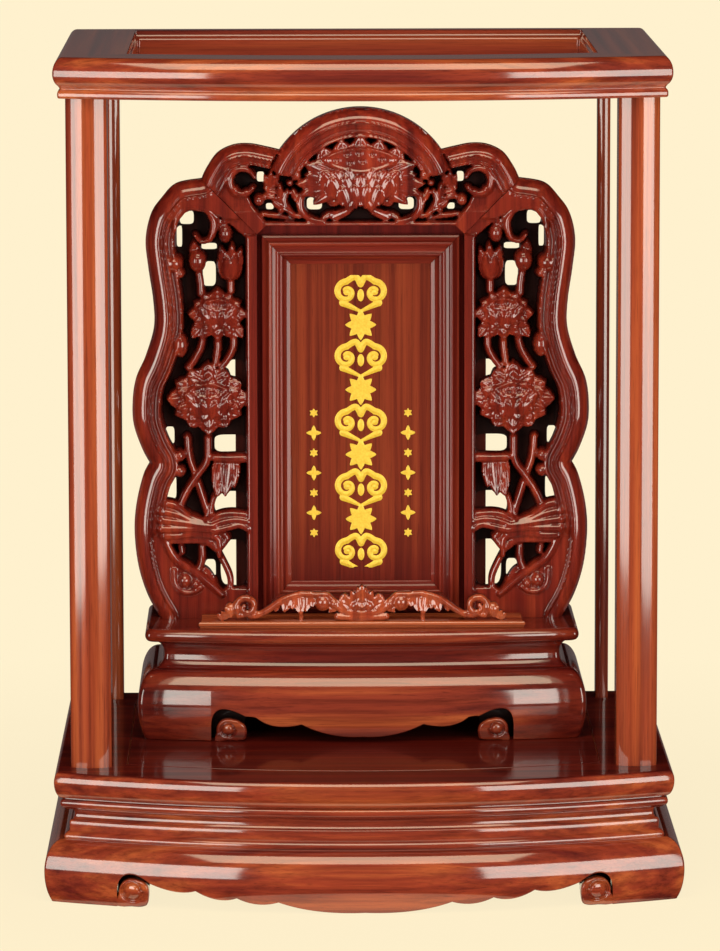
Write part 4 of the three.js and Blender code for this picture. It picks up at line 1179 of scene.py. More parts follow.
class Carving:
    """A carved panel as heights on a square grid, in millimetres across and up.

    reach says how far inside the wood a place lies, and height how far the wood stands forward there. Each
    motif adds its own reach and height, and the higher of two motifs shows."""

    def __init__(self, low, high, step=GRID, deep=0.0):
        self.step = step
        self.deep = deep
        self.x = np.arange(low[0], high[0] + step, step)
        self.z = np.arange(low[1], high[1] + step, step)
        self.grid = np.meshgrid(self.x, self.z)
        self.reach = np.full(self.grid[0].shape, -4.0 * step)
        self.height = np.zeros_like(self.reach)

    def window(self, points, margin):
        """The part of the grid round some points, with its coordinates."""
        low = np.min(points, 0) - margin
        high = np.max(points, 0) + margin
        columns = slice(*np.searchsorted(self.x, (low[0], high[0])))
        rows = slice(*np.searchsorted(self.z, (low[1], high[1])))
        return (rows, columns), self.grid[0][rows, columns], self.grid[1][rows, columns]

    def lay(self, where, reach, height):
        """Adds wood over a part of the grid."""
        wood = reach > -self.step
        now = self.height[where]
        self.height[where] = np.where(wood, np.maximum(now, height), now)
        self.reach[where] = np.maximum(self.reach[where], reach)

    def bar(self, points, radii, top, steps=6):
        """A round stem along a curve; its radius changes evenly along it."""
        line = through(points, steps)
        known = np.linspace(0, 1, np.size(radii))
        size = np.interp(np.linspace(0, 1, len(line)), known, np.atleast_1d(radii))
        where, x, z = self.window(line, size.max() + 2 * self.step)
        distance, along = distance_to_line(line, x, z)
        radius = np.interp(along, np.arange(len(line)), size)
        self.lay(where, radius - distance, top - rounded(radius - distance, radius))

    def petal(self, base, tip, width, low, high, ribs=1.0, dome=1.6, full=0.62):
        """A pointed leaf. Its half width is width * sin(pi * s**full)**0.75 at a share s of its length, it
        rises from low to high, is domed across and has ribs along it."""
        base = np.array(base, float)
        axis = np.array(tip, float) - base
        length = np.hypot(*axis)
        axis /= length
        where, x, z = self.window([base, tip], width + 2 * self.step)
        along = ((x - base[0]) * axis[0] + (z - base[1]) * axis[1]) / length
        s = np.clip(along, 0, 1)
        across = (z - base[1]) * axis[0] - (x - base[0]) * axis[1]
        half = width * np.sin(np.pi * s**full) ** 0.75
        reach = np.minimum(half - np.abs(across), np.minimum(along, 1 - along) * length)
        share = np.clip(np.abs(across) / np.maximum(half, 0.4), 0, 1)
        shape = dome * (1 - share**2) + 0.4 * np.cos(2 * np.pi * ribs * share)
        self.lay(where, reach, low + (high - low) * s + shape)

    def ball(self, centre, width, height, top, depth=None):
        """A dome on an elliptical foot."""
        where, x, z = self.window([centre], max(width, height) + 2 * self.step)
        share = np.hypot((x - centre[0]) / width, (z - centre[1]) / height)
        rise = depth or min(width, height)
        dome = rise * (1 - np.sqrt(np.clip(1 - share**2, 0, 1)))
        self.lay(where, (1 - share) * min(width, height), top - dome)

    def pod(self, centre, width, height, top, seeds, size=1.0):
        """A lotus pod seen from above: an eye-shaped plate with a fine rim, and seeds in round pits.

        seeds are (share of the width, share of the height) from the middle."""
        where, x, z = self.window([centre], max(width, height) + 2 * self.step)
        across = (x - centre[0]) / width
        up = (z - centre[1]) / height
        share = np.abs(across) ** 1.5 + np.abs(up) ** 1.7
        reach = (1 - share) * min(width, height) * 0.6
        plate = top - 1.2 + 1.3 * np.exp(-(((reach - 1.1) / 0.7) ** 2)) - 3 * np.clip(0.5 - reach, 0, 1)
        for seed_across, seed_up in seeds:
            apart = np.hypot(x - centre[0] - seed_across * width, z - centre[1] - seed_up * height) / size
            plate += 1.8 * np.exp(-((apart / 0.8) ** 2)) - 2.0 * np.exp(-((apart / 1.8) ** 4))
            plate += 0.8 * np.exp(-(((apart - 2.3) / 0.5) ** 2))
        self.lay(where, reach, plate)

    def curl(self, centre, radius, start, turns, thickness, top, hand=1):
        """A spiral bar that winds inwards to a small eye."""
        turn = np.linspace(0, 1, 10 + int(8 * abs(turns)))
        angle = np.radians(start) + hand * turns * 2 * np.pi * turn
        size = radius * (1 - 0.72 * turn)
        line = np.stack([centre[0] + size * np.cos(angle), centre[1] + size * np.sin(angle)], -1)
        self.bar(line, (thickness, thickness * 0.6), top, 3)
        self.ball(centre, radius * 0.3, radius * 0.3, top)

    def pierce(self, centre, width, height):
        """Opens a rounded hole in what has been laid so far."""
        where, x, z = self.window([centre], max(width, height) + 2 * self.step)
        share = (np.abs(x - centre[0]) / width) ** 4 + (np.abs(z - centre[1]) / height) ** 4
        self.reach[where] = np.minimum(self.reach[where], (share**0.25 - 1) * min(width, height))

    def sink(self, centre, radius, floor):
        """Presses a round pit into what has been laid so far."""
        where, x, z = self.window([centre], radius + 2 * self.step)
        inside = np.hypot(x - centre[0], z - centre[1]) < radius
        self.height[where] = np.where(inside, np.minimum(self.height[where], floor), self.height[where])

    def motifs(self, stems, petals, balls, lift=0.0, dome=1.6):
        """Lays stems (points, radii, top), petals (base, tip, width, low, high) and domes (x, z, width,
        height, top), all raised by a lift."""
        up = np.array((0, lift))
        for points, radii, top in stems:
            self.bar(points + up, radii, top)
        for base, tip, width, low, high in petals:
            self.petal(base + up, tip + up, width, low, high, 2, dome)
        for x, z, width, height, top in balls:
            self.ball((x, z + lift), width, height, top)

    def pierced_field(self, inside, field, wood, holes):
        """Lays the wood round a field, and the field's low ground with holes (x, z, width, height).

        inside and field are the distances inside the panel's outline and the field's."""
        self.lay((slice(None), slice(None)), np.minimum(inside, -field), wood)
        around = self.reach.copy()
        self.reach = np.minimum(inside, field + 2 * self.step)
        for x, z, width, height in holes:
            self.pierce((x, z), width, height)
        self.height = np.where(around > -self.step, self.height, FIELD_GROUND)
        self.reach = np.maximum(around, self.reach)

    def mirror_right(self):
        """Repeats the right half on the left."""
        left = self.grid[0] < 0
        self.height = np.where(left, self.height[:, ::-1], self.height)
        self.reach = np.where(left, self.reach[:, ::-1], self.reach)

    def softened(self):
        """The heights, each averaged with its neighbours in the wood."""
        wood = (self.reach > -self.step).astype(float)
        total = self.height * wood
        count = wood
        for axis in (0, 1):
            total = np.roll(total, 1, axis) + 2 * total + np.roll(total, -1, axis)
            count = np.roll(count, 1, axis) + 2 * count + np.roll(count, -1, axis)
        return np.where(wood > 0, total / np.maximum(count, 1e-6), 0)

    def recess(self, height):
        """How far each place lies below the average of its surroundings, from 0 to 1 for 7 mm, or below the
        height that counts as deep, for 4 mm. The carved finish paints shade by it."""
        wide = np.pad(height, RECESS_CELLS // 2 + 1, mode="edge")
        for axis in (0, 1):
            sums = np.cumsum(wide, axis)
            wide = (np.roll(sums, -RECESS_CELLS, axis) - sums) / RECESS_CELLS
        wide = wide[: height.shape[0], : height.shape[1]]
        return np.clip(np.maximum((wide - height) / 7, (self.deep - height) / 4), 0, 1)

    def shell(self, back_y, mirror=1):
        """Points, faces and recess of the panel: carved front, upright edges and a flat back.

        back_y is the y of height 0. Edge points move along the slope of reach to where it is 0."""
        x, z = self.grid
        height = self.softened()
        slope_z, slope_x = np.gradient(self.reach, self.step)
        steep = np.maximum(slope_x**2 + slope_z**2, 0.5)
        cells = self.reach > -0.5 * self.step
        cells = cells[:-1, :-1] & cells[1:, :-1] & cells[:-1, 1:] & cells[1:, 1:]
        padded = np.pad(cells, 1)
        around = np.stack([padded[:-1, :-1], padded[1:, :-1], padded[:-1, 1:], padded[1:, 1:]])
        used = around.any(0)
        edge = used & ~around.all(0)
        shift = np.where(edge, -self.reach / steep, 0)
        shift = np.clip(shift, -self.step, self.step)
        places = np.stack([x + shift * slope_x, back_y - height, z + shift * slope_z], -1)
        back = places.copy()
        back[..., 1] = back_y
        number = np.cumsum(used.ravel()).reshape(used.shape) - 1
        total = used.sum()
        rows, columns = np.nonzero(cells)
        corner = [number[rows + a, columns + b] for a, b in ((0, 0), (0, 1), (1, 1), (1, 0))]
        face = np.stack(corner, -1)
        walls = []
        for side, (down, across) in enumerate(((-1, 0), (0, 1), (1, 0), (0, -1))):
            open_side = ~padded[rows + 1 + down, columns + 1 + across]
            first = corner[side][open_side]
            second = corner[(side + 1) % 4][open_side]
            walls.append(np.stack([first, first + total, second + total, second], -1))
        points = np.concatenate([places[used], back[used]])
        points[:, 0] *= mirror
        calm = cells & ~(edge[:-1, :-1] | edge[1:, :-1] | edge[:-1, 1:] | edge[1:, 1:])
        backs = [quads + total for quads in back_faces(cells, calm, number)]
        faces = [face, np.concatenate(walls), *backs]
        if mirror < 0:
            faces = [quads[:, ::-1] for quads in faces]
        # Recess sets the painted shade; the back points of the edges take 0.9, which paints shade down the
        # upright walls
        return (points, faces), np.concatenate([self.recess(height)[used], 0.9 * edge[used]])


# The wing's outline and motifs, for the right side: (distance from the middle, height)
WING_UPPER_LOBES = [
    (136, 500.5), (147, 489.7), (155, 477.7), (158.9, 459.2), (157, 438.2), (153.6, 414.2), (153.2, 394.2),
    (159.5, 372.2), (166.9, 355.2), (169.4, 338.2), (168.6, 321.2), (162.5, 303.2), (156.9, 292.5),
]
WING_LOWER_LOBE = [
    (156.9, 292.5), (162.1, 282.2), (167.2, 261.2), (168.6, 240.2), (165.9, 215.2), (159.2, 193.2),
    (150, 176.2),
]
WING_FIELD = [
    (84.5, 198.5), (84.5, 460.5), (102, 476), (107, 479), (114.5, 482.5), (125.5, 484), (133, 482),
    (140, 476), (160, 470), (165, 300), (152, 241), (146.5, 236.5), (143.5, 229), (137.5, 220.5),
    (128.5, 214), (120, 208), (111.5, 201), (104.5, 195.5), (99.5, 199),
]
WING_HOLES = [
    (128.5, 475, 5.2, 5.2), (134, 461, 2, 9), (112, 453.5, 6, 2.4), (112, 433, 4.8, 9.5),
    (97, 306, 12, 6.6), (142, 312, 3.4, 7), (141, 273.5, 3.6, 9.8), (97, 261.5, 12, 8.6),
    (95, 216, 9.7, 17.5), (112.5, 210.5, 4.1, 8.6), (93, 354, 7.6, 15),
]
WING_STEMS = [
    ([(137, 467.5), (136, 473.5), (132, 480.5), (125.5, 484), (118.5, 483), (112.5, 480), (108.5, 473.5),
      (108.5, 467.5), (111, 460.5), (117.5, 458.5), (122, 463)], (1.3, 2.6, 2.6, 1.2), 20.5),
    ([(120, 437), (118.5, 428), (118, 419)], (2.2, 2.6), 15),
    ([(96, 430), (96, 421)], (2.4, 2.4), 14),
    ([(116.5, 388), (118.5, 378.5), (123, 370), (127.5, 364)], (2.2, 2.5), 15.5),
    ([(105.5, 388), (106, 378.5), (107.5, 367)], (2.2, 2.4), 16.5),
    ([(94, 388), (94.5, 378.5), (98, 371), (103.5, 364)], (2.1, 2.3), 15.5),
    ([(129, 312), (127.5, 296.5), (123.5, 284.5), (119.5, 272), (115, 257.5), (114, 249.5)], (2.3, 2.5), 14),
    ([(113.5, 312), (114, 295), (119.5, 286), (125.5, 277.5), (130.5, 269), (134.5, 260)], (2.3, 2.5), 16.5),
    ([(109, 297), (99, 296.5), (87, 296.5)], (2.6, 3.6), 18),
    ([(108, 269.5), (110.5, 262.5), (112, 252)], (1.6, 2), 15),
    ([(146, 262.5), (138, 261), (128, 253), (117, 249.5)], (3.4, 2), 18.5),
    ([(148, 257), (137, 254.5), (126, 249.5), (113, 247.5)], (3.2, 1.8), 19.6),
    ([(148, 250.5), (134.5, 248.8), (120, 246.6), (108, 246)], (3.2, 1.8), 20.6),
    ([(148, 244), (134.5, 244), (122, 243.8), (108, 242.5)], (3.2, 2), 21),
    ([(146, 238.5), (136, 238.5), (125, 240), (112, 238.5)], (3, 2.6), 19.8),
    ([(141, 234.5), (127, 235), (116, 234.5), (108, 229)], (2, 3), 18),
    ([(114, 249), (106, 253.5), (97, 255), (85, 254)], (2.2, 2.8), 18.6),
    ([(112, 246), (101.5, 249.5), (92, 250.5), (84.5, 249)], (2.2, 2.8), 20.2),
    ([(110, 242), (98, 245), (90, 246.5), (84.5, 244)], (2.4, 2.6), 20.8),
    ([(113, 240), (106, 235), (105.5, 223)], (3.6, 1.2), 19.4),
    ([(103, 240), (100, 236), (106, 227)], (3, 1.6), 18),
    ([(147.5, 241), (143.5, 230), (137.5, 220.5), (128.5, 214), (120, 208), (111.5, 201), (103.5, 194)],
     (2.6, 2.8, 2.8, 2), 18),
    ([(134.5, 235), (133.5, 225)], (2, 2), 14),
    ([(118.5, 230), (118.5, 218.5), (122, 211)], (2.3, 2.3), 15),
    ([(106.5, 226), (100.5, 214), (97.5, 205.5), (97.5, 196)], (2, 2.4), 14.5),
    ([(139.5, 212.5), (138.5, 202), (133, 196.5), (125.5, 196), (119.5, 199.5)], (1.4, 1.8, 1.6), 17.5),
]
WING_PETALS = [
    ((100, 462), (107.5, 480), 2.6, 13, 18), ((99.5, 463), (101.5, 478), 2.4, 13, 18),
    ((122, 447), (123, 458.5), 4, 10, 14), ((97, 429), (103, 454), 6, 11, 18),
    ((96, 429), (88, 453), 5.6, 11, 17.5), ((96, 429), (95, 457), 5, 12, 19.5),
    ((96, 430), (92, 448), 3.6, 14, 20.5), ((97, 430), (99.5, 446), 3.6, 14, 20.5),
    ((98, 299), (107.5, 268), 9.4, 12.5, 19), ((98, 299), (101, 268.5), 8, 13, 20),
    ((96, 298), (94, 274), 5.4, 13, 18.5), ((118, 214), (104.5, 194), 3.2, 11, 13),
]
WING_BALLS = [
    (100, 464, 4.6, 6.6, 20), (120.5, 443.5, 6.2, 8.2, 19.5), (133.5, 381, 5, 8.6, 20.8),
    (138, 442, 6.7, 6.7, 21), (133.4, 434.5, 3, 3.4, 20), (134.5, 298.5, 3.9, 4.2, 20),
    (134.5, 287, 4.1, 4.4, 20), (131.5, 204.5, 4.8, 5.6, 19.5), (123.4, 202, 3.2, 3.4, 19),
]


# A lotus flower: rings of petals (share of the size, count, share of a step that they are turned, lift), and
# rows that stand before the plate (places as shares of its width, drop as a share of its height, lift)
LOTUS_RINGS = ((1.0, 12, 0.0, 0), (0.82, 10, 0.5, 1.3), (0.62, 8, 0.25, 2.6))
LOTUS_ROWS = (((-0.95, 0.95, -0.5, 0.5, 0), 0.5, 0), ((-0.72, 0.72, -0.26, 0.26), 1.35, 0.5))


def lotus(carving, centre, width, height, top, plate, seeds, size):
    """A lotus flower: three rings of full, ribbed petals in a broad diamond, a seed plate above its middle,
    and two rows of petals that stand before the plate.

    plate is (rise of its middle, half width, half height)."""
    x, z = centre
    rise, plate_width, plate_height = plate
    carving.ball(centre, width * 0.8, height * 0.8, top - 4, 5)
    for share, count, turned, lift in LOTUS_RINGS:
        for i in range(count):
            turn = 2 * np.pi * (i + turned) / count
            aim = np.array([width * np.cos(turn), height * np.sin(turn)])
            aim /= (abs(np.cos(turn)) ** 1.5 + abs(np.sin(turn)) ** 1.5) ** (1 / 1.5)
            base = np.array(centre) + aim * share * 0.25
            tip = np.array(centre) + aim * share
            half = (0.12 * width + 0.17 * height) * share
            carving.petal(base, tip, half, top - 8 + lift, top - 4.4 + lift, 2, 2, 1.05)
    carving.pod((x, z + rise), plate_width, plate_height, top, seeds, size)
    for shares, drop, lift in LOTUS_ROWS:
        for share in shares:
            foot = (x + share * plate_width * 0.5, z + rise - plate_height * (drop + 1.9))
            tip = (x + share * plate_width * 1.15, z + rise - plate_height * (drop - 0.3 * abs(share)))
            high = top - 0.5 + lift - 0.7 * abs(share)
            carving.petal(foot, tip, plate_width * 0.27, top - 3.4, high, 2, 1.6, 1.0)


def wing_carving():
    """One wing: a lobed border, a pierced field of lotus, leaves and stems, and a strip by the frame.

    Below the seam the border is moulded; above it and at the foot it blends into a plainer, flat one."""
    low = (WING_INNER_X, PANEL_Z)
    seam_end = (WING_INNER_X + SEAM_REACH, SEAM_Z + SEAM_REACH)
    carving = Carving(low, (WING_OUTER_X, seam_end[1]), deep=DEEP)
    x, z = carving.grid
    outer = np.vstack([through([seam_end, *WING_UPPER_LOBES]), through(WING_LOWER_LOBE)[1:]])
    inside = inside_distance(np.vstack([[low, (WING_INNER_X, SEAM_Z)], outer]), x, z)
    from_edge, _ = distance_to_line(outer, x, z)
    slope = bend((0, 7), (0.4, 13), (4.5, 17.6), (9.8, 18.4), steps=9)
    rim = np.vstack([
        slope,
        [(10.4, 17.4), (11.0, 20.4), (11.9, 20.4), (12.6, 17.2)],
        [(14.2, 17.4), (14.8, 20), (15.5, 20), (16.3, 16.6)],
        [(18.4, 16.4), (19.2, 19.4), (20.2, 20.4), (21.2, 19.4), (21.8, 16)],
    ])
    border = np.interp(from_edge, rim[:, 0], rim[:, 1])
    plain_rim = np.interp(from_edge, slope[:, 0], slope[:, 1])
    upper = np.clip((z - WING_UPPER_Z) / 1.6, 0, 1) * (from_edge > WING_RIM)
    lower = np.clip((243 - z) / 5, 0, 1) * (from_edge > WING_RIM)
    wood = border + upper * (20 - border)
    wood += lower * (15 - wood)
    field = inside_distance(np.array(WING_FIELD, float), x, z)
    field = np.minimum(field, from_edge - 21.4 + 1.6 * np.clip((z - 465) / 10, 0, 1))
    strip = x < WING_INNER_X + WING_STRIP
    wood = np.where(strip & (z < SEAM_Z), 19.6, wood)
    plain = (strip | (z > WING_UPPER_Z) | (from_edge > WING_BORDER)) & (from_edge > WING_RIM)
    wood -= np.where(plain, rounded(-field, 1.4), 0)
    wood = np.where(from_edge < WING_RIM, np.maximum(wood, np.minimum(border, plain_rim)), wood)
    carving.pierced_field(inside, field, wood, WING_HOLES)
    carving.motifs(WING_STEMS, WING_PETALS, WING_BALLS)
    lotus(carving, (106, 404), 22, 19, 20.5, (7.5, 12.5, 5.4), [(-0.4, 0.1), (0.15, 0.1), (0.6, 0)], 1.1)
    for tip_x in (125, 116, 106.5, 97, 87):
        carving.petal((106 + (tip_x - 106) * 0.55, 397.5), (tip_x, 386.5), 4.6, 13, 16, 1, 1.6, 0.9)
    seeds = [(-0.5, 0.15), (-0.15, 0.35), (0.2, 0.3), (0.55, 0.12), (-0.2, -0.2), (0.25, -0.15)]
    lotus(carving, (113, 341), 31, 27, 21, (6.5, 15.5, 6.6), seeds, 0.85)
    carving.sink((118, 475), 4.9, 3)
    carving.reach = np.minimum(carving.reach, inside)
    return carving


# Painted shade of carved places, by how deep they lie
RECESS_SHADE_TONES = [(0.0, (1, 1, 1, 1)), (0.35, (0.5, 0.36, 0.36, 1)), (0.85, (0.06, 0.03, 0.03, 1))]


def carved_lacquer(name, *tones):
    """Lacquer with painted shade and less gloss where the carving lies deep."""
    material = lacquered_wood(name, "Z", tones, 1.0, 5.3)
    tree = material.node_tree
    shader = tree.nodes["Principled BSDF"]
    wood = shader.inputs["Base Color"].links[0].from_node
    deep = tree.nodes.new("ShaderNodeAttribute")
    deep.attribute_name = "recess"
    shade = mixed(tree, "MULTIPLY", 1.0, wood, ramp(tree, deep, RECESS_SHADE_TONES))
    wire(tree, shade, "Color", shader, "Base Color")
    gloss = math_node(tree, "SUBTRACT", 1.0, deep.outputs["Fac"])
    tree.links.new(gloss, shader.inputs["Coat Weight"])
    return material


CARVED = carved_lacquer("carved_lacquer", (98, 21, 16), (132, 38, 24), (156, 56, 32))
VINE = carved_lacquer("vine_lacquer", (132, 46, 26), (162, 70, 40), (184, 92, 54))


def add_carving(node, carving, back_y, mirror=1, finish=CARVED):
    """Places a carved panel in the model, with its flat back on back_y."""
    shell, recess = carving.shell(back_y, mirror)
    piece = add_piece(node, shell, finish, sharp=48)
    # The recess attribute carries the painted shade of deep places
    layer = piece.data.attributes.new("recess", "FLOAT", "POINT")
    layer.data.foreach_set("value", recess.astype(np.float32))


# Crest motifs, for the right side
CREST_LOBE = [(113.4, 512.4), (105.5, 523.2), (94, 528.9), (82, 529.8), (70, 527.6)]
CREST_FIELD = [
    (70, 472), (79.5, 484.5), (83, 491.5), (93, 495.5), (97.5, 503), (96.5, 510), (90, 514), (78, 514.5),
    (66, 511.5), (60, 507.5), (53, 506), (46, 510),
]
CREST_HOLES = [(73.5, 505, 3, 3.8), (67, 483, 2.8, 2.4), (34, 485, 5.6, 4.6)]
CREST_STEMS = [
    ([(78, 505.5), (82, 510.5), (88, 512), (94, 509.3), (96.3, 503), (94.5, 497), (90, 494), (83.5, 494),
      (79.5, 498)], (1.2, 2.6, 2.6, 1.6), 19.5),
    ([(27, 498), (37, 497), (43.5, 491), (44, 482), (38, 475), (27, 472.5)], (1.6, 2.6, 2.6, 1.6), 17.5),
    ([(54, 495), (56, 487), (51, 479), (45, 476)], (1.4, 2.4, 1.4), 16),
    ([(70, 497), (66, 494), (60, 495)], (1.2, 1.8), 14),
    ([(73, 478), (66, 477), (58, 476), (50, 474)], (1.4, 2, 1.4), 12),
]
CREST_PETALS = [
    ((66, 496), (60.5, 509), 3, 10, 16), ((66.5, 497), (66, 510.5), 2.8, 12, 17),
    ((67.5, 497), (71, 508), 2.6, 10, 16), ((58.5, 486), (59.5, 501), 2.6, 13, 17.5),
    ((65, 488), (52.5, 480), 3, 11, 16), ((72, 492), (61, 490), 2.4, 11, 15),
    ((22, 493), (41, 504.5), 4.6, 13, 18), ((20, 491), (37, 497.5), 4, 14, 18.5),
    ((21, 496), (34, 508), 4, 13, 18), ((25, 487), (9, 489.5), 3.8, 14, 18),
    ((22, 474.5), (3, 484), 3.4, 13, 17), ((24, 478), (8, 478), 2.6, 12, 16),
    ((20, 479), (30, 474), 2.6, 11, 15), ((50, 497), (47, 486), 2.6, 12, 16),
]
CREST_BALLS = [
    (92.5, 496.5, 2.4, 2.4, 19.5), (84.5, 494.5, 2.3, 2.3, 19.5), (75, 488.5, 3.6, 3.8, 18.5),
    (47.5, 507, 3.8, 3.8, 18), (52, 501, 2.4, 2.4, 15), (58.5, 481.5, 2.4, 2.6, 16),
]

# Petals of the crest's flower: (tip, half width) over the pod and beside it, then rows before it as (tips
# across, height of the tips, height of the bases, half width, height of the wood)
CREST_TOP_PETALS = ((-27, 527.5, 8), (27, 527.5, 8), (-14, 533, 8.5), (14, 533, 8.5), (0, 536, 9))
CREST_SIDE_PETALS = ((47.5, 500.5, 6), (44, 493, 5.6), (35, 486, 5), (41, 507.5, 7), (40.5, 515.5, 8))
CREST_FRONT_ROWS = (
    ((-28, -19, -9, 9, 19, 28), 512.5, 494, 6.8, 19.8),
    ((-22, -11.5, 0, 11.5, 22), 507.5, 488, 7.2, 20.5),
    ((-14, -5, 5, 14), 500, 482, 6.2, 21),
)
CREST_SEEDS = [
    (-0.6, 0), (-0.34, 0.42), (-0.04, 0.5), (0.3, 0.42), (-0.26, -0.2), (0.06, -0.1), (0.55, 0.05),
]


def crest_flower(carving):
    """A wide lotus: petals over and beside its seed plate, and three rows that stand before it."""
    for tip_x, tip_z, half in CREST_TOP_PETALS:
        carving.petal((tip_x * 0.8, 508), (tip_x, tip_z), half, 13.5, 17.6, 2, 1.6, 1.2)
    for hand in (-1, 1):
        for tip_x, tip_z, half in CREST_SIDE_PETALS:
            carving.petal((hand * 11, 503), (hand * tip_x, tip_z), half, 14.5, 19.4, 3, 2, 1.1)
    carving.pod((0, 518.5), 29, 10, 20.6, CREST_SEEDS, 0.95)
    for tips, tip_z, base_z, half, high in CREST_FRONT_ROWS:
        for tip_x in tips:
            tip = (tip_x, tip_z - 0.1 * abs(tip_x))
            carving.petal((tip_x * 0.6, base_z), tip, half, high - 2.4, high, 1, 1.5, 1.3)
    for tip_x in (-14, -7, 0, 7, 14):
        carving.petal((tip_x * 0.4, 497), (tip_x, 484), 3.6, 16, 19.5, 1)


def crest_carving():
    """The crest: a high arch between two lobes, with a lotus, leaves and curls in its pierced field."""
    half_width = WING_INNER_X + SEAM_REACH
    columns = math.ceil(half_width / GRID) * GRID
    carving = Carving((-columns, SEAM_Z), (columns, CREST_CENTRE_Z + CREST_RADIUS), deep=DEEP)
    x, z = carving.grid
    side_x = np.abs(x)
    turn = np.radians(np.linspace(CREST_ARCH_ANGLE, 90, 28))
    arch = np.stack([CREST_RADIUS * np.cos(turn), CREST_CENTRE_Z + CREST_RADIUS * np.sin(turn)], -1)
    seam_end = (half_width, SEAM_Z + SEAM_REACH + MITRE_GAP)
    lobe = through([seam_end, *CREST_LOBE, tuple(arch[0])])
    foot = [(WING_INNER_X - CREST_CHAMFER, SEAM_Z + CREST_CHAMFER), (WING_INNER_X, SEAM_Z + MITRE_GAP)]
    half = np.vstack([foot, lobe, arch[1:]])
    outline = np.vstack([half, half[::-1] * (-1, 1)])
    inside = inside_distance(outline, x, z)
    from_arch = CREST_RADIUS - np.hypot(x, z - CREST_CENTRE_Z)
    from_lobe, _ = distance_to_line(lobe, side_x, z)
    arch_rim = np.vstack([
        bend((0, 7), (0.3, 14), (4, 19.6), (8.6, 20.4), steps=9),
        [(9.4, 19), (10, 21.6), (10.9, 21.6), (11.6, 18.6)],
        [(15.4, 18.2), (16.2, 16.8), (16.9, 20.6), (17.8, 20.6)],
        [(18.6, 17.4), (20.4, 19.6), (21.4, 19), (22, 16)],
    ])
    lobe_rim = arch_rim * (0.8, 0.97)
    lobes = np.interp(from_lobe, lobe_rim[:, 0], lobe_rim[:, 1])
    lobes = np.where(from_lobe > 17.6, 15.5 + 3 * np.clip((z - 500) / 8, 0, 1), lobes)
    arches = np.interp(from_arch, arch_rim[:, 0], arch_rim[:, 1])
    over = (from_arch > 0) & (z > 504) & (from_arch < 22.4)
    wood = np.where(over, np.maximum(arches, lobes * (from_lobe < 3)), lobes)
    low = np.clip((SEAM_Z + 22 - z) / 6, 0, 1)
    wood = wood + low * np.clip(from_lobe / 14 - 1, 0, 1) * (17.5 - wood)
    turn = np.radians(np.linspace(30, 90, 16))
    vault = CREST_VAULT_RADIUS * np.stack([np.cos(turn), np.sin(turn)], -1) + (0, CREST_CENTRE_Z)
    half_field = np.vstack([CREST_FIELD, vault])
    field = inside_distance(np.vstack([half_field, half_field[::-1] * (-1, 1)]), x, z)
    wood -= rounded(-field, 1.2)
    holes = CREST_HOLES + [(-hole_x, *rest) for hole_x, *rest in CREST_HOLES]
    carving.pierced_field(inside, field, wood, holes)
    carving.motifs(CREST_STEMS, CREST_PETALS, CREST_BALLS)
    carving.sink((87.5, 503.5), 4.8, 3)
    carving.mirror_right()
    crest_flower(carving)
    carving.reach = np.minimum(carving.reach, inside)
    return carving


# Sill ornament motifs, for the right side; heights count from the sill
ORNAMENT_STEMS = [
    ([(91, 3.5), (85, 4.8), (81, 3.6), (74, 5.4), (66.5, 10), (59.5, 15), (52.5, 18), (45.5, 20)],
     (1.6, 2.2, 2.4, 2), 7),
    ([(45.5, 20.2), (39, 20), (34.5, 19.4), (26, 19.4), (21.5, 15.5), (16, 12)], (2, 1.8, 2), 7.2),
    ([(45.5, 12), (45, 6), (45, 0.6)], (1.9, 1.5), 6.5),
    ([(92.5, 8.5), (91, 15), (86, 17.2), (80.5, 14.5), (80, 9), (84, 6), (88, 8), (87, 11.5)],
     (1.8, 2.4, 2, 1.4), 8),
    ([(20, 12), (14, 7.5), (6, 5.8), (0, 5.6)], (2.2, 2.8), 7.6),
    ([(18, 3.2), (9, 2.4), (0, 2.2)], (2.4, 2.4), 8),
    ([(11, 9), (15.6, 13.5), (13, 18.5), (9.5, 16.5)], (1.4, 1.8, 1.2), 7.8),
]
ORNAMENT_PETALS = [
    ((101, 1.4), (107, 5), 2.6, 3, 5), ((100, 1.2), (103.5, 7.5), 2.6, 4, 6), ((96, 3), (101, 10.5), 3, 5, 7),
    ((54, 17.5), (57.5, 6.6), 4.2, 4, 6.5), ((50, 18), (51.5, 9), 3.6, 5, 7),
    ((46.5, 19), (45, 5), 5, 5, 7.5), ((41, 18.5), (41.5, 7), 4.4, 4, 6.8),
    ((37, 18), (36, 10.5), 3.4, 4, 6.4),
    ((62, 13), (64, 6.5), 2.2, 3.5, 5), ((18, 12), (24.5, 6.5), 3.2, 4, 6),
    ((4, 12), (8, 22.5), 3.2, 5.5, 7.5), ((2, 12), (3, 25.5), 3.2, 6, 8.2), ((6, 10), (13.5, 20), 2.8, 5, 7),
    ((5, 9), (17, 16), 2.8, 5, 7), ((3, 11), (0, 27), 3.4, 6.2, 8.4),
]
ORNAMENT_BALLS = [
    (97.2, 8.4, 3.8, 5.2, 8), (92.6, 9.6, 3.2, 6, 8.4), (29, 13.4, 5.8, 6.4, 8.8), (20.5, 12.5, 3, 3.6, 8.4),
    (78, 5.4, 2.2, 2.4, 7), (5, 11, 4, 4.6, 8.6),
]


def ornament_carving():
    """The vine on the sill: scrolls and shells at its ends, hanging leaves and a flower in the middle."""
    columns = math.ceil(ORNAMENT_HALF_WIDTH / GRID) * GRID
    carving = Carving((-columns, SILL_TOP), (columns, SILL_TOP + ORNAMENT_HEIGHT))
    carving.motifs(ORNAMENT_STEMS, ORNAMENT_PETALS, ORNAMENT_BALLS, SILL_TOP, 1.2)
    carving.pod((0, SILL_TOP + 13.5), 5, 4.6, 8.8, [(0, 0), (-0.45, 0.1), (0.45, 0.1)], 0.6)
    carving.mirror_right()
    return carving


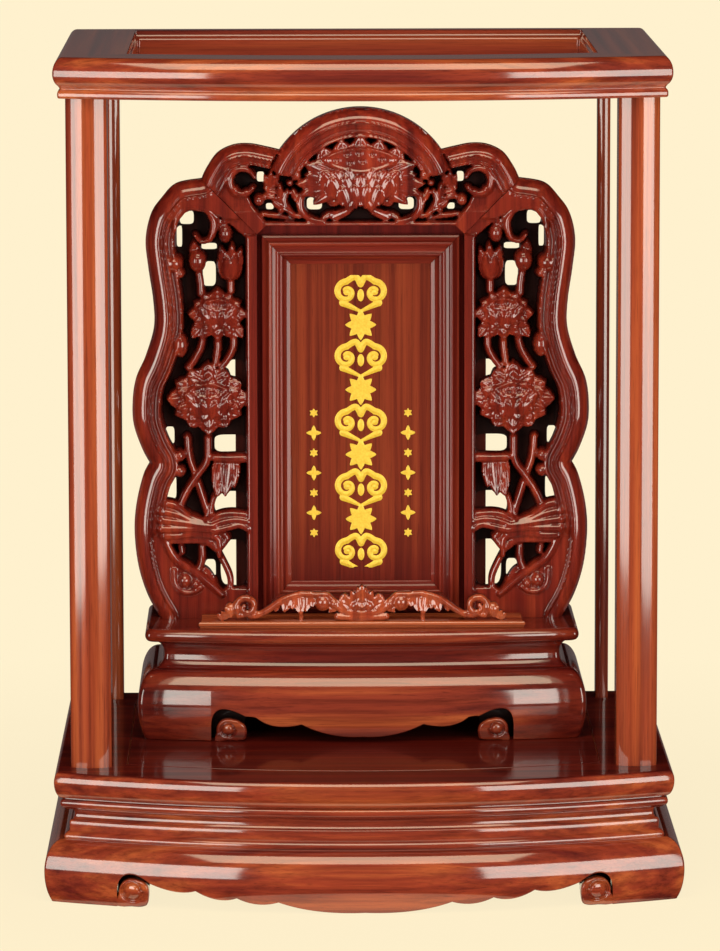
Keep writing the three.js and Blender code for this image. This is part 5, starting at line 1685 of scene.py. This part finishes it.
def carvings():
    """Both wings, the crest and the ornament on the sill."""
    wing = wing_carving()
    add_carving("wing_right", wing, PANEL_REAR_Y)
    add_carving("wing_left", wing, PANEL_REAR_Y, -1)
    add_carving("crest", crest_carving(), PANEL_REAR_Y)
    add_carving("sill_ornament", ornament_carving(), ORNAMENT_REAR_Y, finish=VINE)


# The gilding's extent, grid, thickness, and the sizes of its clouds and rosettes
GILT_LOW = (-44, 214)
GILT_HIGH = (44, 432)
GILT_GRID = 0.45
GILT_TOP = 0.9
CLOUD_SIZE = 19
ROSETTE_SIZE = 11.5


def gilt():
    """Gold leaf on carved ornament: a warm metal with fine unevenness."""
    material = bpy.data.materials.new("gold_leaf")
    material.use_nodes = True
    tree = material.node_tree
    shader = tree.nodes["Principled BSDF"]
    patches = noise(tree, stretched(tree, "X", (700, 700), 2.0), 3)
    tone = ramp(tree, patches, [(0.3, colour(222, 184, 52)), (0.7, colour(238, 206, 74))])
    wire(tree, tone, "Color", shader, "Base Color")
    shader.inputs["Metallic"].default_value = 0.15
    shader.inputs["Roughness"].default_value = 0.42
    return material


def cloud(carving, x, z, size):
    """A cloud head: two curls that meet under a drop."""
    for hand in (-1, 1):
        curl_x = x + hand * size * 0.55
        carving.curl((curl_x, z), size * 0.42, 90, 1.1, size * 0.13, GILT_TOP, -hand)
        brow = [(curl_x, z + size * 0.42), (x + hand * size * 0.2, z + size * 0.6), (x, z + size * 0.3)]
        carving.bar(brow, size * 0.12, GILT_TOP)
        chin = [(x + hand * size * 0.7, z - size * 0.42), (x, z - size * 0.75)]
        carving.bar(chin, (size * 0.14, size * 0.05), GILT_TOP)
    carving.ball((x, z - size * 0.12), size * 0.13, size * 0.24, GILT_TOP, 0.6)


def rosette(carving, x, z, size, petals):
    """A small flower of pointed petals round a bead."""
    for i in range(petals):
        turn = 2 * math.pi * i / petals + math.pi / 2
        tip = (x + size * math.cos(turn), z + size * math.sin(turn))
        carving.petal((x, z), tip, size * 0.3, 0.35, 0.6, 0, 0.3)
    carving.ball((x, z), size * 0.24, size * 0.24, 0.95, 0.6)


def gilding():
    """Plain gold ornament down the board: clouds and rosettes in the middle, a string of stars each side."""
    carving = Carving(GILT_LOW, GILT_HIGH, GILT_GRID)
    for i, z in enumerate(np.linspace(420, 226, 9)):
        if i % 2:
            rosette(carving, 0, z, ROSETTE_SIZE, 8)
        else:
            cloud(carving, 0, z, CLOUD_SIZE)
    for x in (-35, 35):
        for i, z in enumerate(np.linspace(330, 240, 7)):
            rosette(carving, x, z, 5.6 if i % 2 else 3.4, 4 if i % 2 else 6)
    shell, _ = carving.shell(BOARD_FRONT_Y)
    add_piece("inscription_board", shell, gilt(), "inscription_gilding", sharp=40, replaces=False)


# Camera and studio


def camera():
    """The photograph's view: a long lens, low above the object, tilted slightly down."""
    data = bpy.data.cameras.new("camera")
    data.sensor_width = SENSOR
    data.lens = FOCAL_PIXELS / PHOTO_HEIGHT * SENSOR
    data.clip_end = 100
    eye = bpy.data.objects.new("camera", data)
    eye.location = CAMERA_PLACE
    eye.rotation_euler = (math.pi / 2 - CAMERA_PITCH, CAMERA_ROLL, CAMERA_YAW)
    bpy.context.scene.collection.objects.link(eye)
    bpy.context.scene.camera = eye


def softbox(name, place, size, watts, tone):
    """A rectangular studio lamp that faces the middle of the shrine."""
    data = bpy.data.lights.new(name, "AREA")
    data.shape = "RECTANGLE"
    data.size, data.size_y = size
    data.energy = watts
    data.color = tone
    lamp = bpy.data.objects.new(name, data)
    lamp.location = place
    x, y, z = np.array(LAMP_AIM) - np.array(place)
    lamp.rotation_euler = (math.atan2(math.hypot(x, y), -z), 0, math.atan2(x, -y) + math.pi)
    lamp.visible_camera = False
    bpy.context.scene.collection.objects.link(lamp)


def shown_rays(tree):
    """The light path, and whether the camera or a clear thing looks along it."""
    rays = tree.nodes.new("ShaderNodeLightPath")
    ends = rays.outputs
    return ends, math_node(tree, "MAXIMUM", ends["Is Camera Ray"], ends["Is Transmission Ray"])


def studio():
    """A softbox to each side of the camera and a warmer bank overhead, in a dim room.

    The cream backdrop shows to the camera and through clear things. Shiny things show it only where they
    look steeply down, and a strip of the dim room low behind the shrine."""
    for name, (place, size, watts, tone) in LAMPS.items():
        softbox(name, place, size, watts, tone)

    world = bpy.data.worlds.new("studio")
    world.use_nodes = True
    tree = world.node_tree
    tree.nodes.clear()
    rays, clear = shown_rays(tree)
    way = tree.nodes.new("ShaderNodeTexCoord")
    parts = tree.nodes.new("ShaderNodeSeparateXYZ")
    wire(tree, way, "Generated", parts, "Vector")
    below = math_node(tree, "LESS_THAN", parts.outputs["Z"], LOW_REFLECTION)
    shiny = math_node(tree, "MULTIPLY", rays["Is Glossy Ray"], below)
    low = math_node(tree, "LESS_THAN", parts.outputs["Z"], STRIP_TOP)
    behind = math_node(tree, "GREATER_THAN", parts.outputs["Y"], STRIP_NEAREST)
    strip = math_node(tree, "MULTIPLY", math_node(tree, "MULTIPLY", low, behind), rays["Is Glossy Ray"])
    lit = math_node(tree, "MAXIMUM", rays["Is Diffuse Ray"], strip)
    room = painted(tree, "ShaderNodeBackground", ROOM_COLOUR)
    tree.links.new(math_node(tree, "MULTIPLY", lit, ROOM_LIGHT), room.inputs["Strength"])
    cream = painted(tree, "ShaderNodeBackground", colour(*BACKDROP_CREAM))
    mix = mix_shaders(tree, math_node(tree, "MAXIMUM", clear, shiny), room, cream)
    out = tree.nodes.new("ShaderNodeOutputWorld")
    wire(tree, mix, "Shader", out, "Surface")
    bpy.context.scene.world = world


def floor():
    """A plain cream floor that shows its own colour and keeps a soft shadow under the base.

    Beyond REFLECTED_FLOOR from the middle it is open to glossy and shadow rays, because the side lamps reach
    below its level and their mirror images stay whole."""
    half = FLOOR_HALF
    mesh = bpy.data.meshes.new("floor")
    corners = [(-half, -half, 0), (half, -half, 0), (half, half, 0), (-half, half, 0)]
    mesh.from_pydata(corners, [], [(0, 1, 2, 3)])
    ground = bpy.data.objects.new("floor", mesh)
    bpy.context.scene.collection.objects.link(ground)
    material = bpy.data.materials.new("floor_cream")
    material.use_nodes = True
    tree = material.node_tree
    tree.nodes.clear()
    rays, clear = shown_rays(tree)
    place = tree.nodes.new("ShaderNodeTexCoord")
    away = tree.nodes.new("ShaderNodeVectorMath")
    away.operation = "LENGTH"
    wire(tree, place, "Object", away, "Vector")
    share = map_range(tree, away.outputs["Value"], *FLOOR_SHADOW_ENDS, FLOOR_SHARE)
    seen = math_node(tree, "MAXIMUM", clear, rays["Is Glossy Ray"])
    matt = painted(tree, "ShaderNodeBsdfDiffuse", colour(*BACKDROP_CREAM))
    glow = painted(tree, "ShaderNodeEmission", colour(*BACKDROP_CREAM))
    solid = mix_shaders(tree, math_node(tree, "MULTIPLY", seen, share), matt, glow)
    far = math_node(tree, "GREATER_THAN", away.outputs["Value"], REFLECTED_FLOOR)
    through_rays = math_node(tree, "MAXIMUM", rays["Is Glossy Ray"], rays["Is Shadow Ray"])
    opening = tree.nodes.new("ShaderNodeBsdfTransparent")
    mix = mix_shaders(tree, math_node(tree, "MULTIPLY", far, through_rays), solid, opening)
    out = tree.nodes.new("ShaderNodeOutputMaterial")
    wire(tree, mix, "Shader", out, "Surface")
    mesh.materials.append(material)


base()
posts()
top_frame()
pedestal()
sill()
inscription_frame()
carvings()
gilding()

for node, piece in NODES.items():
    piece.data.materials.clear()
    piece.data.materials.append(finish_of(node))

camera()
studio()
floor()
bpy.context.scene.view_settings.view_transform = "Standard"
